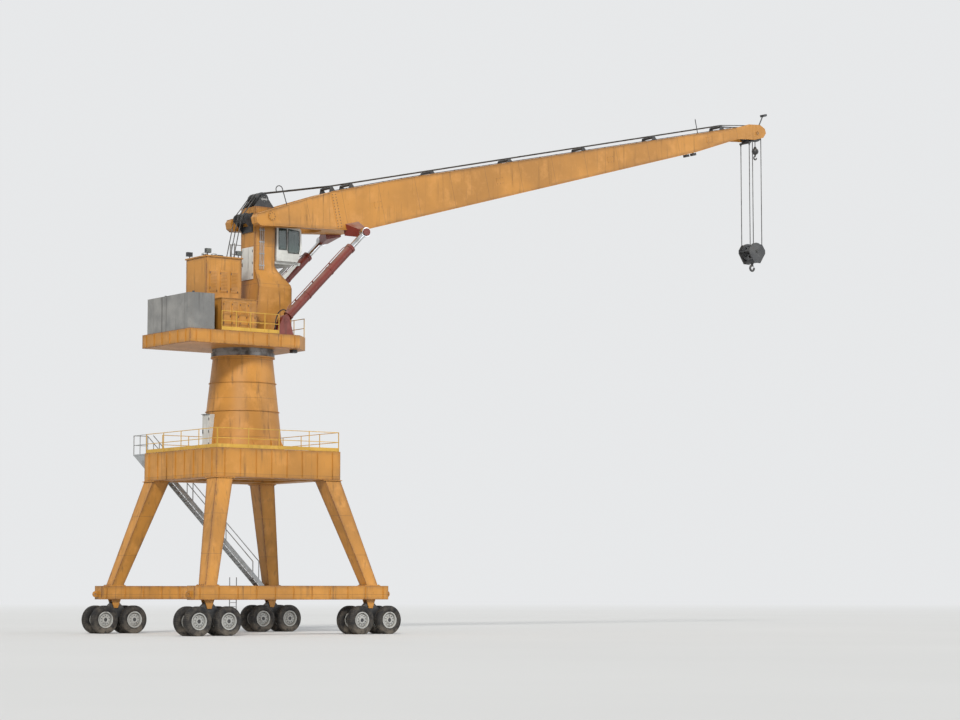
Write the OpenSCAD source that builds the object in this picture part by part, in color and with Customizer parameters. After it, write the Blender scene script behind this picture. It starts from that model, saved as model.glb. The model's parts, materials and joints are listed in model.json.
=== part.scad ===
// Slewing jib crane for a harbour, on a portal that runs on rubber tyres.
// Model at half the real size, in millimetres. +Z is up, +X is the way the jib points.
// The origin lies on the ground, under the slewing axis.

/* [Portal] */
// Distance between the left and right wheel lines
gauge = 5200; // [4800:100:5600]
// Distance between the front and rear legs
wheel_base = 5200; // [4800:100:5600]
// Clear height under the portal frame
clear_height = 4300; // [3800:100:4800]
// Distance of the leg tops from the slewing axis, along and across
leg_top = 1750; // [1700:10:1850]
// Depth of the portal frame
frame_h = 800; // [700:50:900]
// Width of the frame's girders and of the leg tops
frame_w = 520; // [460:20:560]
// Distance of the frame's cross girders from the middle plane
cross_y = 820; // [780:10:860]
// Width of the cross girders
cross_w = 340; // [300:10:380]
// Side of the legs at the sill beam
leg_foot_w = 360; // [300:20:380]
// Depth of the sill beams
sill_h = 380; // [340:20:440]
// Width of the sill beams
sill_w = 400; // [380:20:440]
// Height of the sill beams over the ground
sill_z = 960; // [940:10:1000]
// How far the sill beams reach past the legs
sill_over = 520; // [480:10:560]
// Plate thickness of the portal
portal_plate = 12; // [8:1:16]
// Radius of the bore in each tie-down lug
tie_r = 30; // [24:1:34]
// Radius of the tie-down lugs
tie_lug_r = 85; // [75:1:95]
// Thickness of the tie-down lugs
tie_lug_t = 40; // [30:2:50]

/* [Wheels] */
// Radius of a tyre that carries no load
tyre_r = 400; // [390:5:410]
// Width of a tyre
tyre_w = 240; // [220:10:250]
// How far the load flattens a tyre
tyre_flat = 10; // [6:1:13]
// Depth of the grooves in the tread
groove_d = 14; // [14:1:18]
// Radius of the rim that a tyre sits on
rim_r = 230; // [210:5:250]
// Distance between the two axles of a bogie
axle_gap = 920; // [880:10:960]
// Distance between the twin tyres of an axle
twin_gap = 520; // [500:10:540]
// Radius of the wheel axles and of the bogie pins
stub_r = 55; // [50:1:60]
// Width of a bogie's beam
spine_w = 150; // [130:10:160]
// Thickness of the lugs that hold a bogie
lug_t = 26; // [20:2:32]

/* [Pedestal] */
// Radius of the pedestal at the portal
pedestal_low_r = 1150; // [1100:10:1200]
// Radius of the pedestal at the slewing ring
pedestal_top_r = 850; // [820:10:880]
// Height of the pedestal
pedestal_h = 2700; // [2400:50:3000]
// Plate thickness of the pedestal
pedestal_plate = 14; // [10:1:20]
// Thickness of the pedestal's flanges
flange_t = 36; // [28:2:44]
// How far the lower flange reaches past the pedestal
flange_reach = 90; // [80:5:100]
// Bolts in the lower flange
bolt_count = 36; // [24:12:48]
// Height of the ribs over the lower flange
rib_h = 300; // [240:10:360]
// Height of each half of the slewing ring
ring_h = 110; // [90:10:130]
// Width of the slewing ring, from its bore to its rim
ring_w = 180; // [160:10:200]
// Width of the pedestal's door
door_w = 380; // [340:10:420]
// Height of the pedestal's door
door_h = 980; // [900:20:1040]

/* [Upperworks] */
// Distance of the jib pivot ahead of the slewing axis
pivot_x = 400; // [370:10:430]
// Height of the jib pivot above the deck
pivot_h = 3400; // [3350:10:3450]
// Depth of the deck
deck_h = 380; // [320:20:440]
// Half width of the deck
deck_y = 1340; // [1330:10:1400]
// Rear end of the deck, behind the slewing axis
deck_rear = 2500; // [2450:50:2700]
// Front end of the deck, ahead of the slewing axis
deck_front = 1560; // [1520:20:1700]
// Half width of the tower between the jib's feet
tower_y = 385; // [370:5:400]
// Half width of the tower's foot
tower_foot_y = 640; // [600:10:680]
// Length of the machine house
house_l = 1150; // [1100:10:1200]
// Distance of the machine house behind the jib pivot
house_gap = 800; // [780:10:840]
// Height of the machine house
house_h = 2130; // [2000:10:2200]
// Half width of the machine house
house_y = 560; // [520:10:600]
// Width of the side cabinets
cabinet_w = 560; // [500:10:580]
// Height of the side cabinets
cabinet_h = 900; // [800:10:950]
// Length of the counterweight
ballast_l = 760; // [700:10:800]
// Height of the counterweight
ballast_h = 1000; // [800:50:1100]
// Plate thickness of the tower, the house and the deck
upper_plate = 10; // [6:1:14]

/* [Cab] */
// Length of the cab
cab_l = 850; // [800:10:880]
// Half width of the cab
cab_y = 360; // [330:10:370]
// Height of the cab
cab_h = 1050; // [1000:10:1080]
// Depth of the cab's floor under the jib pivot
cab_drop = 1180; // [1160:5:1200]
// Wall thickness of the cab
cab_wall = 22; // [16:1:28]
// Thickness of the cab's glass
pane = 8; // [5:1:8]

/* [Access] */
// Height of the railings
rail_h = 550; // [500:10:600]
// Side of the railings' square tube
rail_w = 18; // [14:1:22]
// Width of the stair
stair_w = 360; // [320:10:380]
// Steps of the stair
stair_steps = 34; // [30:1:36]
// Distance of the stair's foot ahead of the slewing axis
stair_foot_x = 2300; // [2260:10:2320]
// Length of the landing at the head of the stair
landing_l = 500; // [440:10:520]
// Outer edge of the walkway beside the cab, from the middle plane
walk_y = 940; // [900:10:960]
// Width of the ladders
ladder_w = 230; // [200:10:260]

/* [Jib] */
// Length of the jib from its pivot to the head axle
jib_len = 19800; // [19000:100:20200]
// Angle of the jib above level, at rest
jib_angle = 13.4; // [12:0.1:15]
// Outer half width of the jib at its feet
foot_y = 860; // [840:10:880]
// Width of each foot
foot_w = 300; // [280:10:310]
// How far the feet stay straight past the pivot
foot_flat = 220; // [200:10:260]
// Half width of the box girder where the feet join
box_root_y = 600; // [580:10:620]
// Half width of the box girder at the head
box_tip_y = 310; // [305:5:330]
// Depth of the jib under its axis at the knee, over the cylinders
knee_low = 855; // [830:5:870]
// Distance of that knee from the pivot
knee_s = 3130; // [3100:10:3200]
// Plate thickness of the jib
jib_plate = 8; // [6:1:12]
// Closed bays inside the box girder
bay_count = 6; // [4:1:8]
// Radius of the jib's pivot pins
pivot_r = 90; // [80:2:100]

/* [Luffing cylinders] */
// Distance of each cylinder from the middle plane
cyl_y = 1150; // [1140:5:1160]
// Where the rods are pinned, along the jib
rod_pin_s = 2850; // [2820:10:2880]
// How far the rod pins lie under the jib's axis
rod_pin_t = 930; // [915:5:945]
// Outer radius of a barrel
barrel_r = 130; // [120:2:134]
// Wall thickness of a barrel
barrel_wall = 26; // [22:1:30]
// Radius of a rod
rod_r = 84; // [76:2:86]
// Length of a barrel from its pin to its mouth
barrel_len = 3200; // [3140:10:3220]
// Length of a rod from its pin to the piston's face
rod_len = 3180; // [3150:10:3190]
// Radius of the cylinders' pins
pin_r = 75; // [68:1:80]
// Width of the eyes on the cylinders' pins
eye_w = 176; // [176:2:182]

/* [Hoist] */
// Pitch radius of the main sheaves
sheave_r = 262; // [250:2:270]
// Pitch radius of the whip sheave
whip_r = 190; // [180:2:200]
// Pitch radius of the sheaves on the tower
mast_sheave_r = 190; // [180:2:196]
// Pitch radius of the sheaves behind the tower
guide_r = 130; // [124:1:134]
// Distance of the main sheaves from the middle plane
sheave_y = 205; // [200:1:210]
// Width of the main sheaves
sheave_w = 74; // [66:1:78]
// Radius of the sheaves' axles
axle_r = 60; // [54:1:64]
// Radius of the ropes
rope_r = 14; // [10:1:16]
// How far the hook block's sheaves hang under the head axle
fall_len = 3960; // [3600:20:4200]
// How far the whip hook's ball hangs under the head axle
whip_len = 560; // [520:10:620]
// Radius of the whip hook's ball
ball_r = 115; // [105:1:120]
// Radius of the main hook's shank
shank_r = 45; // [40:1:50]

/* [Hidden] */
$fn = 48;
// Radial play at pins, the gap between faces that meet, and how far a cut runs past its solid
play = 0.1;
gap = 0.3;
past = 1;
// Heights above the ground
axle_z = tyre_r - tyre_flat;
bogie_pin_z = sill_z - 150;
sill_top = sill_z + sill_h;
pedestal_z = clear_height + frame_h;
ring_z = pedestal_z + pedestal_h;
deck_low = ring_z + 2 * ring_h;
deck_z = deck_low + deck_h;
pivot_z = deck_z + pivot_h;
floor_z = pivot_z - cab_drop;
house_top = deck_z + house_h;
// Outer edges of the portal frame and of its railing
frame_edge = leg_top + frame_w / 2;
fence_edge = frame_edge - 30;
// Slewing ring
ring_out_r = pedestal_top_r + 50;
ring_in_r = ring_out_r - ring_w;
// Tie-down lugs: their centres past the sill beams' ends and above their undersides
tie_out = 90;
tie_z = sill_z + 150;
// Outline of the tower, seen from the pivot
tower_back = 260;
tower_front = 400;
tower_top = 330;
tower_toe = 820;
tower_heel = 420;
shoulder_z = -1500;
waist_z = -2000;
chin_z = -1350;
toe_z = -1900;
panel_t = 24;
// Machine house and cabinets
house_front = pivot_x - house_gap;
house_back = house_front - house_l;
cabinet_y = house_y + 90;
// Cab and its walkway
cab_back = pivot_x + tower_front + 80;
walk_t = 40;
// Stair and landing
stair_rise = pedestal_z - sill_top;
stair_top_x = stair_foot_x - stair_rise;
stair_y = (gauge - stair_w) / 2;
// Pins of the luffing cylinders: rod and barrel pins are equally far from the pivot,
// so that a cylinder turns by half the angle that the jib turns
pin_reach = norm([rod_pin_s, rod_pin_t]);
rod_pin_a = jib_angle - atan2(rod_pin_t, rod_pin_s);
barrel_pin_a = -90 - rod_pin_a;
barrel_pin_x = pivot_x + pin_reach * cos(barrel_pin_a);
barrel_pin_z = pivot_z + pin_reach * sin(barrel_pin_a);
cyl_len = 2 * pin_reach * sin((rod_pin_a - barrel_pin_a) / 2);
cyl_a = 45;
ear_gap = 6;
ear_t = 30;
barrel_bore = barrel_r - barrel_wall;
// Head axle, at rest
head_x = pivot_x + jib_len * cos(jib_angle);
head_z = pivot_z + jib_len * sin(jib_angle);
// Jib outline: height over its axis, against the distance from the pivot
foot_end = -510;
seam_s = 2400;
box_end = jib_len - 900;
jib_top = [[foot_end, 140], [0, 195], [seam_s, 420], [5100, 450], [box_end, 290]];
jib_low = [[foot_end, -190], [knee_s, -knee_low], [jib_len - 2870, -275], [box_end, -88]];
crotch_s = 1650;
crotch_r = 420;
cheek_t = 30;
// Sheaves: how far their lips stand over the pitch circle
lip_h = 1.6 * rope_r;
rope_y = [-sheave_y, 0, sheave_y];
rope_pitch_r = [sheave_r, whip_r, sheave_r];
head_c = [jib_len, 0];
mast_c = [pivot_x + 60, pivot_z + tower_top + mast_sheave_r + lip_h + 15];
guide_c = [pivot_x - 470, pivot_z - 20];
// Bar across the head that the lamp's arm stands on, and the arm's far end
lamp_root = [jib_len + 330, 110];
lamp_end = [jib_len + 720, 560];
lamp_bar_r = 18;
// Rollers that carry the ropes along the jib
roller_r = 40;
roller_gap = 0.8;
roller_count = 6;
roller_first = 3300;
roller_last = jib_len - 1500;
root_roller_s = 2600;
rope_root = [root_roller_s, 600];
rope_last = [roller_last, 460];
rope_root_world = [
  pivot_x + rope_root[0] * cos(jib_angle) - rope_root[1] * sin(jib_angle),
  pivot_z + rope_root[0] * sin(jib_angle) + rope_root[1] * cos(jib_angle)
];
// Ropes between the house's roof and the tower's sheaves
roof_p = [pivot_x - 870, house_top + 8];
mast_front_a = meet_a(mast_c, mast_sheave_r, rope_root_world, 1);
guide_low_a = 360 + meet_a(guide_c, guide_r, roof_p, -1);
guide_way = mast_c - guide_c;
shared_a = atan2(guide_way[1], guide_way[0]) + acos((guide_r - mast_sheave_r) / norm(guide_way));
// Hook block and what hangs beside it
block_z = head_z - fall_len;
whip_z = head_z - whip_len;
anchor = [-sheave_r, -330];
socket_h = 75;
cross_low = -375;
cross_h = 80;
cross_top = cross_low + cross_h;

// Helpers

// Height of an outline at a distance s
function at(s, line) = lookup(s, line);
// Half width of the jib at a distance s
function jib_half(s) = s < seam_s
  ? foot_y + (box_root_y - foot_y) * max(s - foot_flat, 0) / (seam_s - foot_flat)
  : box_root_y + (box_tip_y - box_root_y) * (s - seam_s) / (box_end - seam_s);
// Height of the ropes over the jib's axis
function rope_t(s) = rope_root[1]
  + (rope_last[1] - rope_root[1]) * (s - rope_root[0]) / (rope_last[0] - rope_root[0]);
// Radius of the pedestal at a height over its foot
function pedestal_r(z) = pedestal_low_r + (pedestal_top_r - pedestal_low_r) * z / pedestal_h;
// Distance of the tower's sloping front from the pivot, at a height seen from there
function slope_x(z) = tower_front + (tower_toe - tower_front) * (chin_z - z) / (chin_z - toe_z);
function ring_point(c, r, a) = c + r * [cos(a), sin(a)];
// Angle at which a rope from the point p meets a circle, on the side that sign picks
function meet_a(c, r, p, sign) = atan2(p[1] - c[1], p[0] - c[0]) + sign * acos(r / norm(p - c));

// Lifts a drawing of x and z upright, with its thickness along Y
module upright(w) {
  rotate([90, 0, 0]) linear_extrude(w, center = true) children();
}
// Lifts a drawing of y and z upright, with its thickness along X
module crosswise(w) {
  rotate([0, 0, 90]) upright(w) children();
}
module on_jib() {
  translate([pivot_x, 0, pivot_z]) rotate([0, -jib_angle, 0]) children();
}
// Stands what is drawn on the jib's top plate, square to it
module on_jib_top(s) {
  rise = atan2(at(s + past, jib_top) - at(s - past, jib_top), 2 * past);
  on_jib() translate([s, 0, at(s, jib_top)]) rotate([0, -rise, 0]) translate([0, 0, gap]) children();
}
module from_pivot() {
  translate([pivot_x, 0, pivot_z]) children();
}
module at_head() {
  translate([head_x, 0, head_z]) children();
}
module at_block() {
  translate([head_x, 0, block_z]) children();
}
module on_cylinder() {
  translate([barrel_pin_x, 0, barrel_pin_z]) rotate([0, 90 - cyl_a, 0]) children();
}
module both_sides() {
  children();
  mirror([0, 1, 0]) children();
}
module four_corners() {
  for (sx = [0, 1], sy = [0, 1]) mirror([sx, 0, 0]) mirror([0, sy, 0]) children();
}
// A round bar along Y
module bar_y(r, w) {
  rotate([90, 0, 0]) cylinder(r = r, h = w, center = true);
}
// A straight rope between two points of an upright plane, a hair short at both ends
module rope_line(p, q, y) {
  d = q - p;
  start = p + gap * d / norm(d);
  translate([start[0], y, start[1]]) rotate([0, 90 - atan2(d[1], d[0]), 0])
    cylinder(r = rope_r, h = norm(d) - 2 * gap);
}
// A rope that lies in a round groove, from angle a to angle b
module rope_bend(c, r, a, b, y) {
  translate([c[0], y, c[1]]) rotate([90, 0, 0]) rotate([0, 0, a])
    rotate_extrude(angle = b - a) translate([r, 0]) circle(rope_r);
}
// A sheave with its rope groove, along Y, bored for its axle and lightened by six holes
module sheave(r, w, bore) {
  lip = r + lip_h;
  hub = 0.35 * r;
  web = 0.2 * w;
  rim = 0.8 * r;
  rotate([90, 0, 0]) difference() {
    rotate_extrude() difference() {
      polygon([
        [bore, -w / 2], [hub, -w / 2], [hub, -web], [rim, -web], [rim, -w / 2], [lip, -w / 2],
        [lip, w / 2], [rim, w / 2], [rim, web], [hub, web], [hub, w / 2], [bore, w / 2]
      ]);
      translate([r, 0]) circle(rope_r + gap);
      translate([r, -rope_r - gap]) square([2 * rope_r, 2 * rope_r + 2 * gap]);
    }
    for (k = [0:5]) rotate([0, 0, 60 * k]) translate([0.57 * r, 0, 0])
      cylinder(r = 0.14 * r, h = w, center = true);
  }
}
// A hollow box of plate, from a corner p with sides d
module plate_box(p, d, t) {
  difference() {
    translate(p) cube(d);
    translate(p + [t, t, t]) cube(d - [2 * t, 2 * t, 2 * t]);
  }
}
// A railing along X from x0 to x1 with n bays, standing on z at y
module fence_x(x0, x1, y, z, n) {
  for (k = [0:n]) translate([x0 + (x1 - x0 - rail_w) * k / n, y - rail_w / 2, z])
    cube([rail_w, rail_w, rail_h]);
  for (h = [rail_h / 2, rail_h]) translate([x0, y - rail_w / 2, z + h - rail_w])
    cube([x1 - x0, rail_w, rail_w]);
}
module fence_y(y0, y1, x, z, n) {
  rotate([0, 0, 90]) fence_x(y0, y1, -x, z, n);
}

// Wheels

module tyre() {
  half = tyre_w / 2;
  bead = 0.36 * tyre_w;
  crown = 0.3 * tyre_w;
  groove_w = 10;
  rotate([90, 0, 0]) rotate_extrude() difference() {
    polygon([
      [rim_r + gap, -bead], [rim_r + 40, -0.93 * half], [tyre_r - 90, -half],
      [tyre_r - 22, -0.88 * half], [tyre_r, -crown], [tyre_r, crown], [tyre_r - 22, 0.88 * half],
      [tyre_r - 90, half], [rim_r + 40, 0.93 * half], [rim_r + gap, bead]
    ]);
    for (k = [-1:1]) translate([tyre_r - groove_d, k * 0.2 * tyre_w - groove_w / 2])
      square([2 * groove_d, groove_w]);
  }
}
// Dished wheel; its open side faces away from the bogie
module rim() {
  bore = stub_r + play;
  half = 0.4 * tyre_w;
  hub = bore + 35;
  dish = bore + 95;
  rotate([90, 0, 0]) rotate_extrude() polygon([
    [bore, -half], [hub, -half], [hub, -half + 26], [dish, -half + 26], [rim_r - 30, -half + 60],
    [rim_r - 30, -half - 6], [rim_r, -half - 6], [rim_r, half + 6], [rim_r - 16, half + 6],
    [rim_r - 26, -half + 78], [dish, -half + 50], [hub + 20, -half + 50], [hub + 20, half - 40],
    [bore, half - 40]
  ]);
}
module at_wheels() {
  four_corners() for (ax = [-1, 1], tw = [-1, 1])
    translate([(wheel_base + ax * axle_gap) / 2, (gauge + tw * twin_gap) / 2, axle_z])
      mirror([0, tw < 0 ? 1 : 0, 0]) children();
}
module tyres() {
  color("#1b1b1c") difference() {
    at_wheels() tyre();
    translate([-wheel_base, -gauge, -tyre_r]) cube([2 * wheel_base, 2 * gauge, tyre_r]);
  }
}
module rims() {
  color("#b9bbb6") at_wheels() rim();
}
// Beam that rocks on its pin under the sill and carries two axles
module bogie() {
  end = axle_gap / 2;
  crown_z = sill_z - 50;
  half_line = [
    [80, crown_z], [150, crown_z - 70], [end + 70, axle_z + 95], [end + 100, axle_z],
    [end + 60, axle_z - 60], [end - 120, axle_z - 40], [200, axle_z + 60]
  ];
  upright(spine_w) difference() {
    polygon(concat(half_line, [for (k = [len(half_line) - 1:-1:0]) [-half_line[k][0], half_line[k][1]]]));
    translate([0, bogie_pin_z]) circle(stub_r + play);
  }
  for (ax = [-1, 1]) translate([ax * end, 0, axle_z]) bar_y(stub_r, twin_gap + 0.7 * tyre_w);
}
module bogies() {
  color("#3a3c3d") four_corners() translate([wheel_base / 2, gauge / 2, 0]) bogie();
}

// Portal

module tie_lug(side) {
  difference() {
    union() {
      bar_y(tie_lug_r, tie_lug_t);
      translate([side > 0 ? -tie_out : 0, -tie_lug_t / 2, -tie_lug_r]) cube([tie_out, tie_lug_t, 2 * tie_lug_r]);
    }
    bar_y(tie_r, tie_lug_t + 2 * past);
  }
}
module bogie_lugs() {
  side_gap = 2;
  for (sy = [-1, 1]) translate([0, sy * (spine_w / 2 + side_gap + lug_t / 2), 0]) upright(lug_t) polygon([
    [-150, sill_z], [-60, bogie_pin_z - 90], [60, bogie_pin_z - 90], [150, sill_z]
  ]);
  translate([0, 0, bogie_pin_z]) bar_y(stub_r, spine_w + 2 * side_gap);
}
module sill() {
  reach = wheel_base / 2 + sill_over;
  plate_box([-reach, -sill_w / 2, sill_z], [2 * reach, sill_w, sill_h], portal_plate);
  for (sx = [-1, 1]) {
    translate([sx * (reach + tie_out), 0, tie_z]) tie_lug(sx);
    translate([sx * wheel_base / 2, 0, 0]) bogie_lugs();
  }
}
module sills() {
  color("#d08a22") both_sides() translate([0, gauge / 2, 0]) sill();
}
// A splayed leg, or the space inside its plates, which runs out at both ends
module leg_block(inset) {
  foot = leg_foot_w / 2 - inset;
  top = frame_w / 2 - inset;
  over = inset > 0 ? past : 0;
  hull() {
    translate([wheel_base / 2 - foot, gauge / 2 - foot, sill_top - over]) cube([2 * foot, 2 * foot, 1]);
    translate([leg_top - top, leg_top - top, clear_height + over - 1]) cube([2 * top, 2 * top, 1]);
  }
}
module legs() {
  color("#d08a22") four_corners() difference() {
    leg_block(0);
    leg_block(portal_plate);
  }
}
// The frame's ring of girders and its two cross girders, or the space inside their plates
module frame_bars(inset) {
  out = frame_edge - inset;
  inn = leg_top - frame_w / 2 + inset;
  h = frame_h - 2 * inset;
  bar = cross_w / 2 - inset;
  translate([0, 0, clear_height + inset]) {
    difference() {
      translate([-out, -out, 0]) cube([2 * out, 2 * out, h]);
      translate([-inn, -inn, -past]) cube([2 * inn, 2 * inn, h + 2 * past]);
    }
    both_sides() translate([-inn - past, cross_y - bar, 0]) cube([2 * inn + 2 * past, 2 * bar, h]);
  }
}
module portal_frame() {
  floor_hole = pedestal_low_r - 320;
  color("#d08a22") {
    difference() {
      frame_bars(0);
      frame_bars(portal_plate);
    }
    translate([0, 0, pedestal_z - portal_plate]) difference() {
      translate([-frame_edge, -frame_edge, 0]) cube([2 * frame_edge, 2 * frame_edge, portal_plate]);
      translate([0, 0, -past]) cylinder(r = floor_hole, h = portal_plate + 2 * past);
    }
  }
}

// Pedestal and slewing ring

module pedestal_rib() {
  rib_t = 16;
  root = 6;
  foot = flange_t - 4;
  head = flange_t + rib_h;
  upright(rib_t) polygon([
    [pedestal_r(foot) - root, foot], [pedestal_low_r + flange_reach - 10, foot],
    [pedestal_r(head) + rib_t, head], [pedestal_r(head) - root, head]
  ]);
}
module pedestal() {
  rib_count = 12;
  bolt_hole_r = 11;
  color("#d08a22") translate([0, 0, pedestal_z]) difference() {
    union() {
      cylinder(r1 = pedestal_low_r, r2 = pedestal_top_r, h = pedestal_h);
      cylinder(r = pedestal_low_r + flange_reach, h = flange_t);
      translate([0, 0, pedestal_h - flange_t]) cylinder(r = ring_out_r + 10, h = flange_t);
      for (k = [0:rib_count - 1]) rotate([0, 0, 360 / rib_count * (k + 0.5)]) pedestal_rib();
    }
    translate([0, 0, -past]) cylinder(
      r1 = pedestal_low_r - pedestal_plate, r2 = pedestal_top_r - pedestal_plate, h = pedestal_h + 2 * past
    );
    for (k = [0:bolt_count - 1]) rotate([0, 0, 360 / bolt_count * k])
      translate([pedestal_low_r + 0.56 * flange_reach, 0, -past])
        cylinder(r = bolt_hole_r, h = flange_t + 2 * past);
  }
}
// Door with its frame, shaped to the pedestal's wall behind it
module pedestal_door() {
  sill = 60;
  proud = 40;
  color("#c9ccc8") difference() {
    translate([-pedestal_low_r - proud, -door_w / 2, pedestal_z + sill]) cube([400, door_w, door_h]);
    translate([0, 0, pedestal_z]) cylinder(r1 = pedestal_low_r + gap, r2 = pedestal_top_r + gap, h = pedestal_h);
  }
}
module ring_half(r, h) {
  difference() {
    cylinder(r = r, h = h);
    translate([0, 0, -past]) cylinder(r = ring_in_r, h = h + 2 * past);
  }
}
module slew_ring_fixed() {
  color("#55585a") translate([0, 0, ring_z]) ring_half(ring_out_r, ring_h - gap);
}
module slew_ring_turning() {
  step = 30;
  color("#55585a") translate([0, 0, ring_z + ring_h]) ring_half(ring_out_r - step, ring_h);
}

// Upperworks

// Plan of the deck; t is the thickness of plate left around it
module deck_plan(t) {
  nose = 500;
  nose_t = 0.42 * t;
  polygon([
    [-deck_rear + t, -deck_y + t], [deck_front - nose, -deck_y + t], [deck_front - t, -deck_y + nose + nose_t],
    [deck_front - t, deck_y - nose - nose_t], [deck_front - nose, deck_y - t], [-deck_rear + t, deck_y - t]
  ]);
}
module deck() {
  color("#d08a22") translate([0, 0, deck_low]) difference() {
    linear_extrude(deck_h) deck_plan(0);
    translate([0, 0, upper_plate]) linear_extrude(deck_h - 2 * upper_plate) deck_plan(upper_plate);
  }
}
module tower_side(t) {
  bend_t = 0.3 * t;
  polygon([
    [-tower_heel + t, -pivot_h + t], [tower_toe - t, -pivot_h + t], [tower_toe - t, toe_z - bend_t],
    [tower_front - t, chin_z - bend_t], [tower_front - t, tower_top - t], [-tower_back + t, tower_top - t],
    [-tower_back + t, toe_z]
  ]);
}
module tower_end(t) {
  polygon([
    [-tower_foot_y + t, -pivot_h], [tower_foot_y - t, -pivot_h], [tower_foot_y - t, waist_z],
    [tower_y - t, shoulder_z], [tower_y - t, tower_top], [-tower_y + t, tower_top],
    [-tower_y + t, shoulder_z], [-tower_foot_y + t, waist_z]
  ]);
}
// The tower's outline, or the space inside its plates
module tower_block(t) {
  intersection() {
    upright(3 * tower_foot_y) tower_side(t);
    crosswise(3 * tower_toe) tower_end(t);
  }
}
// A length of the tower from one height to another, closed by a plate at both ends
module tower_length(low, high) {
  difference() {
    intersection() {
      tower_block(0);
      tower_slice(low, high);
    }
    intersection() {
      tower_block(upper_plate);
      tower_slice(low + upper_plate, high - upper_plate);
    }
  }
}
module tower_slice(low, high) {
  translate([-tower_toe, -tower_foot_y, low]) cube([2 * tower_toe, 2 * tower_foot_y, high - low]);
}
// The splayed foot and the straight column on it, which also carries the jib's pins
module tower() {
  clear = 4;
  boss_l = foot_y - foot_w - clear - tower_y;
  pin_l = foot_y + 20 - tower_y;
  color("#d08a22") from_pivot() {
    tower_length(-pivot_h, chin_z - gap);
    tower_length(chin_z, tower_top);
    both_sides() {
      translate([0, tower_y + boss_l / 2, 0]) bar_y(pivot_r + 60, boss_l);
      translate([0, tower_y + pin_l / 2, 0]) bar_y(pivot_r, pin_l);
      translate([0, foot_y + clear + 8, 0]) bar_y(pivot_r + 30, 16);
    }
  }
}
module tower_door() {
  color("#d9dad6") from_pivot() translate([-tower_back - panel_t - gap, -300, -1760]) cube([panel_t, 600, 930]);
}
module mast_head() {
  cheek_y = tower_y - 60;
  axle = mast_c - [pivot_x, pivot_z];
  top = axle[1] + axle_r + 40;
  color("#35373a") from_pivot() {
    for (sy = [-1, 1]) translate([0, sy * cheek_y, 0]) upright(cheek_t) polygon([
      [-tower_back, tower_top + gap], [tower_front, tower_top + gap], [axle[0] + 130, top - 70],
      [axle[0] + 60, top], [axle[0] - 60, top], [axle[0] - 130, top - 70]
    ]);
    translate([axle[0], 0, axle[1]]) bar_y(axle_r, 2 * cheek_y);
  }
  color("#2a2c2e") for (y = rope_y) translate([mast_c[0], y, mast_c[1]]) sheave(mast_sheave_r, 70, axle_r + play);
}
// Three small sheaves behind the tower that turn the ropes from the roof up to the mast head
module rope_guide() {
  cheek_y = sheave_y + 62;
  back = -tower_back - gap;
  pin = 40;
  plate = [30, 2 * cheek_y, 180];
  color("#35373a") {
    from_pivot() {
      for (sy = [-1, 1]) translate([0, sy * cheek_y, 0]) upright(20) polygon([
        [back, 150], [-480, 90], [-560, 20], [-540, -110], [back, -430]
      ]);
      translate([back - plate[0], -cheek_y, -400]) cube(plate);
    }
    translate([guide_c[0], 0, guide_c[1]]) bar_y(pin, 2 * cheek_y + 30);
  }
  color("#2a2c2e") for (y = rope_y) translate([guide_c[0], y, guide_c[1]]) sheave(guide_r, 60, pin + play);
}
module winch_ropes() {
  color("#47494b") for (y = rope_y) {
    rope_line(roof_p, ring_point(guide_c, guide_r, guide_low_a), y);
    rope_bend(guide_c, guide_r, shared_a, guide_low_a, y);
    rope_line(ring_point(guide_c, guide_r, shared_a), ring_point(mast_c, mast_sheave_r, shared_a), y);
    rope_bend(mast_c, mast_sheave_r, mast_front_a, shared_a, y);
  }
}
module machine_house() {
  size = [house_l, 2 * house_y, house_h];
  eave = 30;
  roof_t = 40;
  pitch = (house_l - 130) / 3;
  hatch = [pitch - 100, 14, 620];
  slot = [120, 80, roof_t + 2 * past];
  color("#c98322") {
    translate([house_back, -house_y, deck_z]) plate_box([0, 0, 0], size, upper_plate);
    both_sides() for (k = [0:2]) translate([house_back + 110 + k * pitch, house_y, deck_z + cabinet_h + 250])
      cube(hatch);
    difference() {
      translate([house_back - eave, -house_y - eave, house_top])
        cube([size[0] + 2 * eave, size[1] + 2 * eave, roof_t]);
      for (y = rope_y) translate([roof_p[0] - slot[0] / 2, y - slot[1] / 2, house_top - past]) cube(slot);
    }
  }
}
module side_cabinets() {
  doors = 4;
  length = house_l;
  lid = 15;
  pitch = (length - 90) / doors;
  color("#c98322") both_sides() translate([house_back + 120, cabinet_y, deck_z]) {
    plate_box([0, 0, 0], [length, cabinet_w, cabinet_h], upper_plate);
    for (k = [0:doors - 1]) translate([60 + k * pitch, cabinet_w, 120]) cube([pitch - 30, 12, cabinet_h - 220]);
    translate([-lid, -lid, cabinet_h]) cube([length + 2 * lid, cabinet_w + 2 * lid, 24]);
  }
}
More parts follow.
